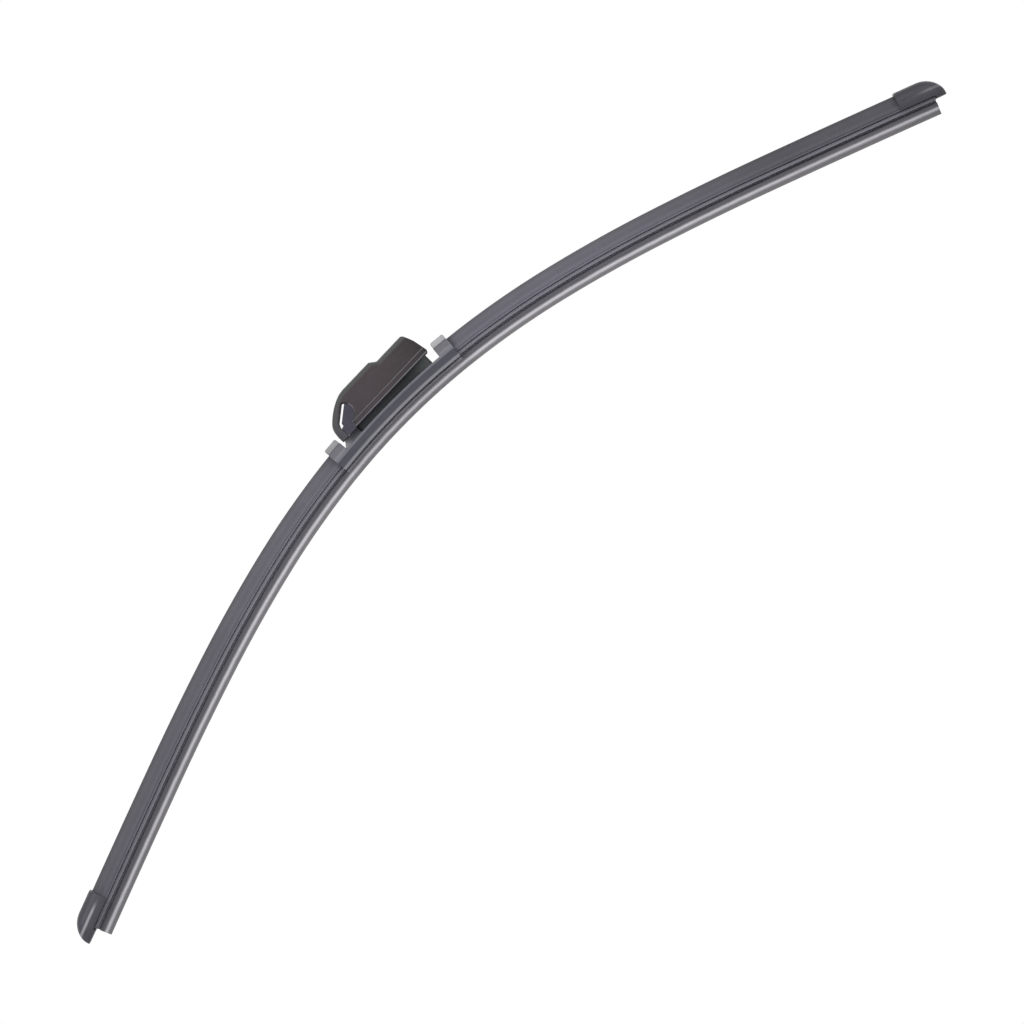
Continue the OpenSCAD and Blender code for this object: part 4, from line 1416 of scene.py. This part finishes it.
class WIPER_OT_adapter(bpy.types.Operator):
    """Makes the adapter's housing with its window, the hook seat on its tongue and the channel's ribs"""

    bl_idname = "wiper.adapter"
    bl_label = "Adapter"

    def execute(self, context):
        finish = finish_of("adapter")
        obj = make_object("adapter_housing", housing_body())
        cut(obj, *housing_cuts())
        join(obj, *housing_beads())
        tidy_mesh(obj, flat=math.radians(0.3))
        soften(obj, 0.22, angle=48, segments=2)
        smooth_shade(obj, 34)
        settle(obj, ADAPTER, finish, ["adapter_body"])

        rim, edge = SEAT_R - 0.25, TONGUE_Y - 0.25
        seat = make_object("adapter_hook_seat", turned(
            [(SEAT_BORE, TONGUE_Y), (SEAT_BORE, -TONGUE_Y), (rim, -TONGUE_Y), (SEAT_R, -edge), (SEAT_R, edge),
             (rim, TONGUE_Y), (SEAT_BORE, TONGUE_Y)], steps=64))
        smooth_shade(seat, 40)
        settle(seat, ADAPTER, finish[:1])

        end = TONGUE_END
        tongue = rounded([(3.4, -2.0), (end, -2.0), (end, SEAT_R), (8.0, SEAT_R), (8.0, 2.0), (3.4, 2.0)],
                         [0, 0.8, 0.5, 0.4, 0.3, 0], steps=3)
        rib = rounded([(-7.0, 4.75), (end, 4.75), (end, 8.8), (7.2, 8.8), (4.0, 11.2), (-7.0, 11.2)],
                      [1.2, 0.6, 0, 0, 0, 0], steps=3)
        inner, outer = RIB_Y
        for name, shape, width in (
            ("adapter_tongue", plate(tongue, -TONGUE_Y, TONGUE_Y), 0.25),
            ("adapter_bridge", block(11.0, 24.0, 2.4, 4.25, 7.25), 0.2),
            ("adapter_rib_front", plate(rib, -inner, -outer), 0.15),
            ("adapter_rib_rear", plate(rib, inner, outer), 0.15),
        ):
            piece = make_object(name, shape)
            soften(piece, width, angle=50)
            smooth_shade(piece, 34)
            settle(piece, ADAPTER, finish)
        return {"FINISHED"}


class WIPER_OT_guide(bpy.types.Operator):
    """Makes the guide that fills the nose behind the window"""

    bl_idname = "wiper.guide"
    bl_label = "Nose guide"

    def execute(self, context):
        gap = 0.14
        slope = [(-24.8, 1.9), (-16.9, 7.8)]
        curve = [(x - gap, z) for x, z in WINDOW_CURVE[1:]]
        cheek = rounded([(-26.28, NOSE_FOOT), (-26.48, 0.2), (-24.9, 0.6)] + slope + curve
                        + [(WALL_START - gap, NOSE_FOOT)],
                        [0.3, 0.5, 0.4, 0.6, 0.4, 1.5, 2.0, 2.0, 2.0, 2.0, 1.0, 0.5, 0.2], steps=4)
        core = rounded([(-24.8, -1.0)] + slope + [(-9.0, 7.8), (-9.0, -1.0)],
                       [0.5, 0.6, 0.6, 0.8, 0.8], steps=3)
        obj = make_object("nose_guide_block", plate(cheek, -8.2, 8.2))
        join(obj, plate(core, -7.08, 7.08))
        cut(obj, block(-31, -5, -6, -0.2, 6.6))
        tidy_mesh(obj, flat=math.radians(0.3))
        soften(obj, 0.3, angle=40, segments=3)
        smooth_shade(obj, 34)
        settle(obj, ADAPTER, finish_of("guide"), ["nose_guide"])
        return {"FINISHED"}


# Stage

# The photo: its width in pixels, millimetres a pixel, the pixel of the pivot axis and the blade's slant
PHOTO_SIDE = 1024
PHOTO_SCALE = 0.485
PHOTO_PIVOT = (380.15, 389.85)
PHOTO_ROLL = math.radians(46.5)
SENSOR = 36.0
FLOOR_REACH = 1150.0
FLOOR_GAP = 0.05


def build_floor(floor_z):
    """Round pale floor at the height given, in millimetres."""
    count = 96
    turns = [2 * math.pi * i / count for i in range(count)]
    bm = bmesh.new()
    rim = [Vector((FLOOR_REACH * math.cos(a), FLOOR_REACH * math.sin(a), floor_z)) * MM for a in turns]
    bm.faces.new([bm.verts.new(point) for point in rim])
    floor = make_object("pale_floor", bm)
    material = bpy.data.materials.new("pale_floor")
    material.use_nodes = True
    material.node_tree.nodes.clear()
    n = Nodes(material.node_tree)
    out = n.add("ShaderNodeOutputMaterial")
    shader = n.add("ShaderNodeBsdfPrincipled")
    shader.inputs["Roughness"].default_value = 0.9
    shader.inputs["Specular IOR Level"].default_value = 0.1
    cloud = n.noise(n.place(), 3.0, in_Detail=2.0)
    n.link(n.greys(cloud, (0.3, 0.93), (0.7, 0.95)), shader.inputs["Base Color"])
    n.link(shader.outputs["BSDF"], out.inputs["Surface"])
    floor.data.materials.append(material)
    floor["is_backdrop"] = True


def build_world(scene, strength):
    """White surroundings for the camera and for reflections, with soft light of the strength given."""
    world = bpy.data.worlds.new("white studio")
    scene.world = world
    world.use_nodes = True
    world.node_tree.nodes.clear()
    n = Nodes(world.node_tree)
    out = n.add("ShaderNodeOutputWorld")
    rays = n.add("ShaderNodeLightPath").outputs
    seen = n.maths("MAXIMUM", rays["Is Camera Ray"], rays["Is Glossy Ray"])
    seen = n.maths("MAXIMUM", seen, rays["Is Transmission Ray"])
    white = n.add("ShaderNodeBackground", in_Color=(1, 1, 1, 1), in_Strength=1.0)
    soft = n.add("ShaderNodeBackground", in_Color=(1, 1, 1, 1), in_Strength=strength)
    both = n.add("ShaderNodeMixShader")
    n.link(seen, both.inputs["Fac"])
    n.link(soft.outputs["Background"], both.inputs[1])
    n.link(white.outputs["Background"], both.inputs[2])
    n.link(both.outputs["Shader"], out.inputs["Surface"])


def build_lamp(scene, name, place, size, watts):
    """Square lamp, in millimetres, that shines at the middle of the blade."""
    lamp = bpy.data.lights.new(name, "AREA")
    lamp.shape = "SQUARE"
    lamp.size = size * MM
    lamp.energy = watts
    holder = bpy.data.objects.new(name, lamp)
    scene.collection.objects.link(holder)
    holder.location = Vector(place) * MM
    aim = Vector((0, 0, -0.04)) - holder.location
    holder.rotation_euler = aim.to_track_quat("-Z", "Y").to_euler()


def build_camera(scene, distance, floor_z):
    """Camera in front of the blade and level with the floor, at the slant and scale of the photo."""
    c, s = math.cos(PHOTO_ROLL), math.sin(PHOTO_ROLL)
    right, up = Vector((c, 0, -s)), Vector((s, 0, c))
    middle = PHOTO_SIDE / 2
    across, down = ((middle - pixel) * PHOTO_SCALE * MM for pixel in PHOTO_PIVOT)
    target = right * across - up * down
    data = bpy.data.cameras.new("photo_camera")
    camera = bpy.data.objects.new("photo_camera", data)
    scene.collection.objects.link(camera)
    camera.location = Vector((target.x, target.y - distance, floor_z * MM))
    back = (camera.location - target).normalized()
    data.sensor_width = SENSOR
    data.lens = SENSOR * (camera.location - target).length / (PHOTO_SIDE * PHOTO_SCALE * MM)
    data.clip_start, data.clip_end = 0.05, 50.0
    flat_up = (up - back * up.dot(back)).normalized()
    flat_right = flat_up.cross(back)
    camera.rotation_mode = "QUATERNION"
    camera.rotation_quaternion = Matrix((flat_right, flat_up, back)).transposed().to_quaternion()
    scene.camera = camera


class WIPER_OT_stage(bpy.types.Operator):
    """Sets up the floor, the lamps, the white surroundings and the camera"""

    bl_idname = "wiper.stage"
    bl_label = "Stage"

    def execute(self, context):
        scene = context.scene
        settings = scene.wiper_stage
        low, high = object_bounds()
        floor_z = low[2] / MM - FLOOR_GAP
        build_floor(floor_z)
        build_world(scene, settings.room_light)
        build_lamp(scene, "key_lamp", (-500, -1300, 1100), 900, settings.key_light)
        build_lamp(scene, "fill_lamp", (900, -1100, 300), 1000, settings.fill_light)
        build_lamp(scene, "back_lamp", (200, 1400, 900), 900, settings.back_light)
        build_camera(scene, settings.camera_distance, floor_z)
        scene.view_settings.view_transform = "Standard"
        return {"FINISHED"}


# Settings and sidebar


def colour_setting(key, name, description):
    return bpy.props.FloatVectorProperty(name=name, description=description, default=COLOURS[key],
                                         subtype="COLOR_GAMMA", size=3, min=0, max=1)


def lamp_setting(name, description, watts):
    return bpy.props.FloatProperty(name=name, description=description, default=watts, unit="POWER",
                                   min=0, max=500)


class WiperColours(bpy.types.PropertyGroup):
    """Screen colours of the mouldings"""

    spoiler: colour_setting("spoiler", "Spoiler", "Skin of both spoilers")
    cap: colour_setting("cap", "End caps", "Plastic of both end caps")
    base: colour_setting("base", "Base shell", "Plastic of the base shell")
    adapter: colour_setting("adapter", "Adapter", "Plastic of the adapter")
    guide: colour_setting("guide", "Nose guide", "Plastic of the nose guide")
    stop: colour_setting("stop", "End stops", "Plastic of the light stops")
    carrier: colour_setting("carrier", "Carrier", "Coated casting under the adapter")


class WiperStage(bpy.types.PropertyGroup):
    """Lamps and camera"""

    room_light: bpy.props.FloatProperty(name="Room light", description="Strength of the light from all round",
                                        default=0.45, min=0, max=2)
    key_light: lamp_setting("Key lamp", "Power of the lamp above the nose", 12.0)
    fill_light: lamp_setting("Fill lamp", "Power of the lamp in front", 5.5)
    back_light: lamp_setting("Back lamp", "Power of the lamp behind", 9.0)
    camera_distance: bpy.props.FloatProperty(name="Camera distance", default=3.0, min=1, max=20,
                                             unit="LENGTH",
                                             description="Distance from the camera to the blade")


class WIPER_PT_panel(bpy.types.Panel):
    """Lists the settings and the steps that build the blade"""

    bl_label = "Wiper blade"
    bl_idname = "WIPER_PT_panel"
    bl_space_type = "VIEW_3D"
    bl_region_type = "UI"
    bl_category = "Wiper blade"

    def draw(self, context):
        layout = self.layout
        for group in (context.scene.wiper_colours, context.scene.wiper_stage):
            box = layout.box()
            for key in group.__annotations__:
                box.prop(group, key)
        for operator in OPERATORS:
            layout.operator(operator.bl_idname)


OPERATORS = (WIPER_OT_rubber, WIPER_OT_rails, WIPER_OT_spoilers, WIPER_OT_end_caps, WIPER_OT_base,
             WIPER_OT_end_stops, WIPER_OT_carrier, WIPER_OT_adapter, WIPER_OT_guide, WIPER_OT_stage)
CLASSES = (WiperColours, WiperStage) + OPERATORS + (WIPER_PT_panel,)


def register():
    for cls in CLASSES:
        bpy.utils.register_class(cls)
    bpy.types.Scene.wiper_colours = bpy.props.PointerProperty(type=WiperColours)
    bpy.types.Scene.wiper_stage = bpy.props.PointerProperty(type=WiperStage)


def unregister():
    del bpy.types.Scene.wiper_stage
    del bpy.types.Scene.wiper_colours
    for cls in reversed(CLASSES):
        bpy.utils.unregister_class(cls)


def main():
    register()
    bpy.ops.wiper.rubber()
    bpy.ops.wiper.rails()
    bpy.ops.wiper.spoilers()
    bpy.ops.wiper.end_caps()
    bpy.ops.wiper.base()
    bpy.ops.wiper.end_stops()
    bpy.ops.wiper.carrier()
    bpy.ops.wiper.adapter()
    bpy.ops.wiper.guide()
    bpy.ops.wiper.stage()


if __name__ == "__main__":
    main()
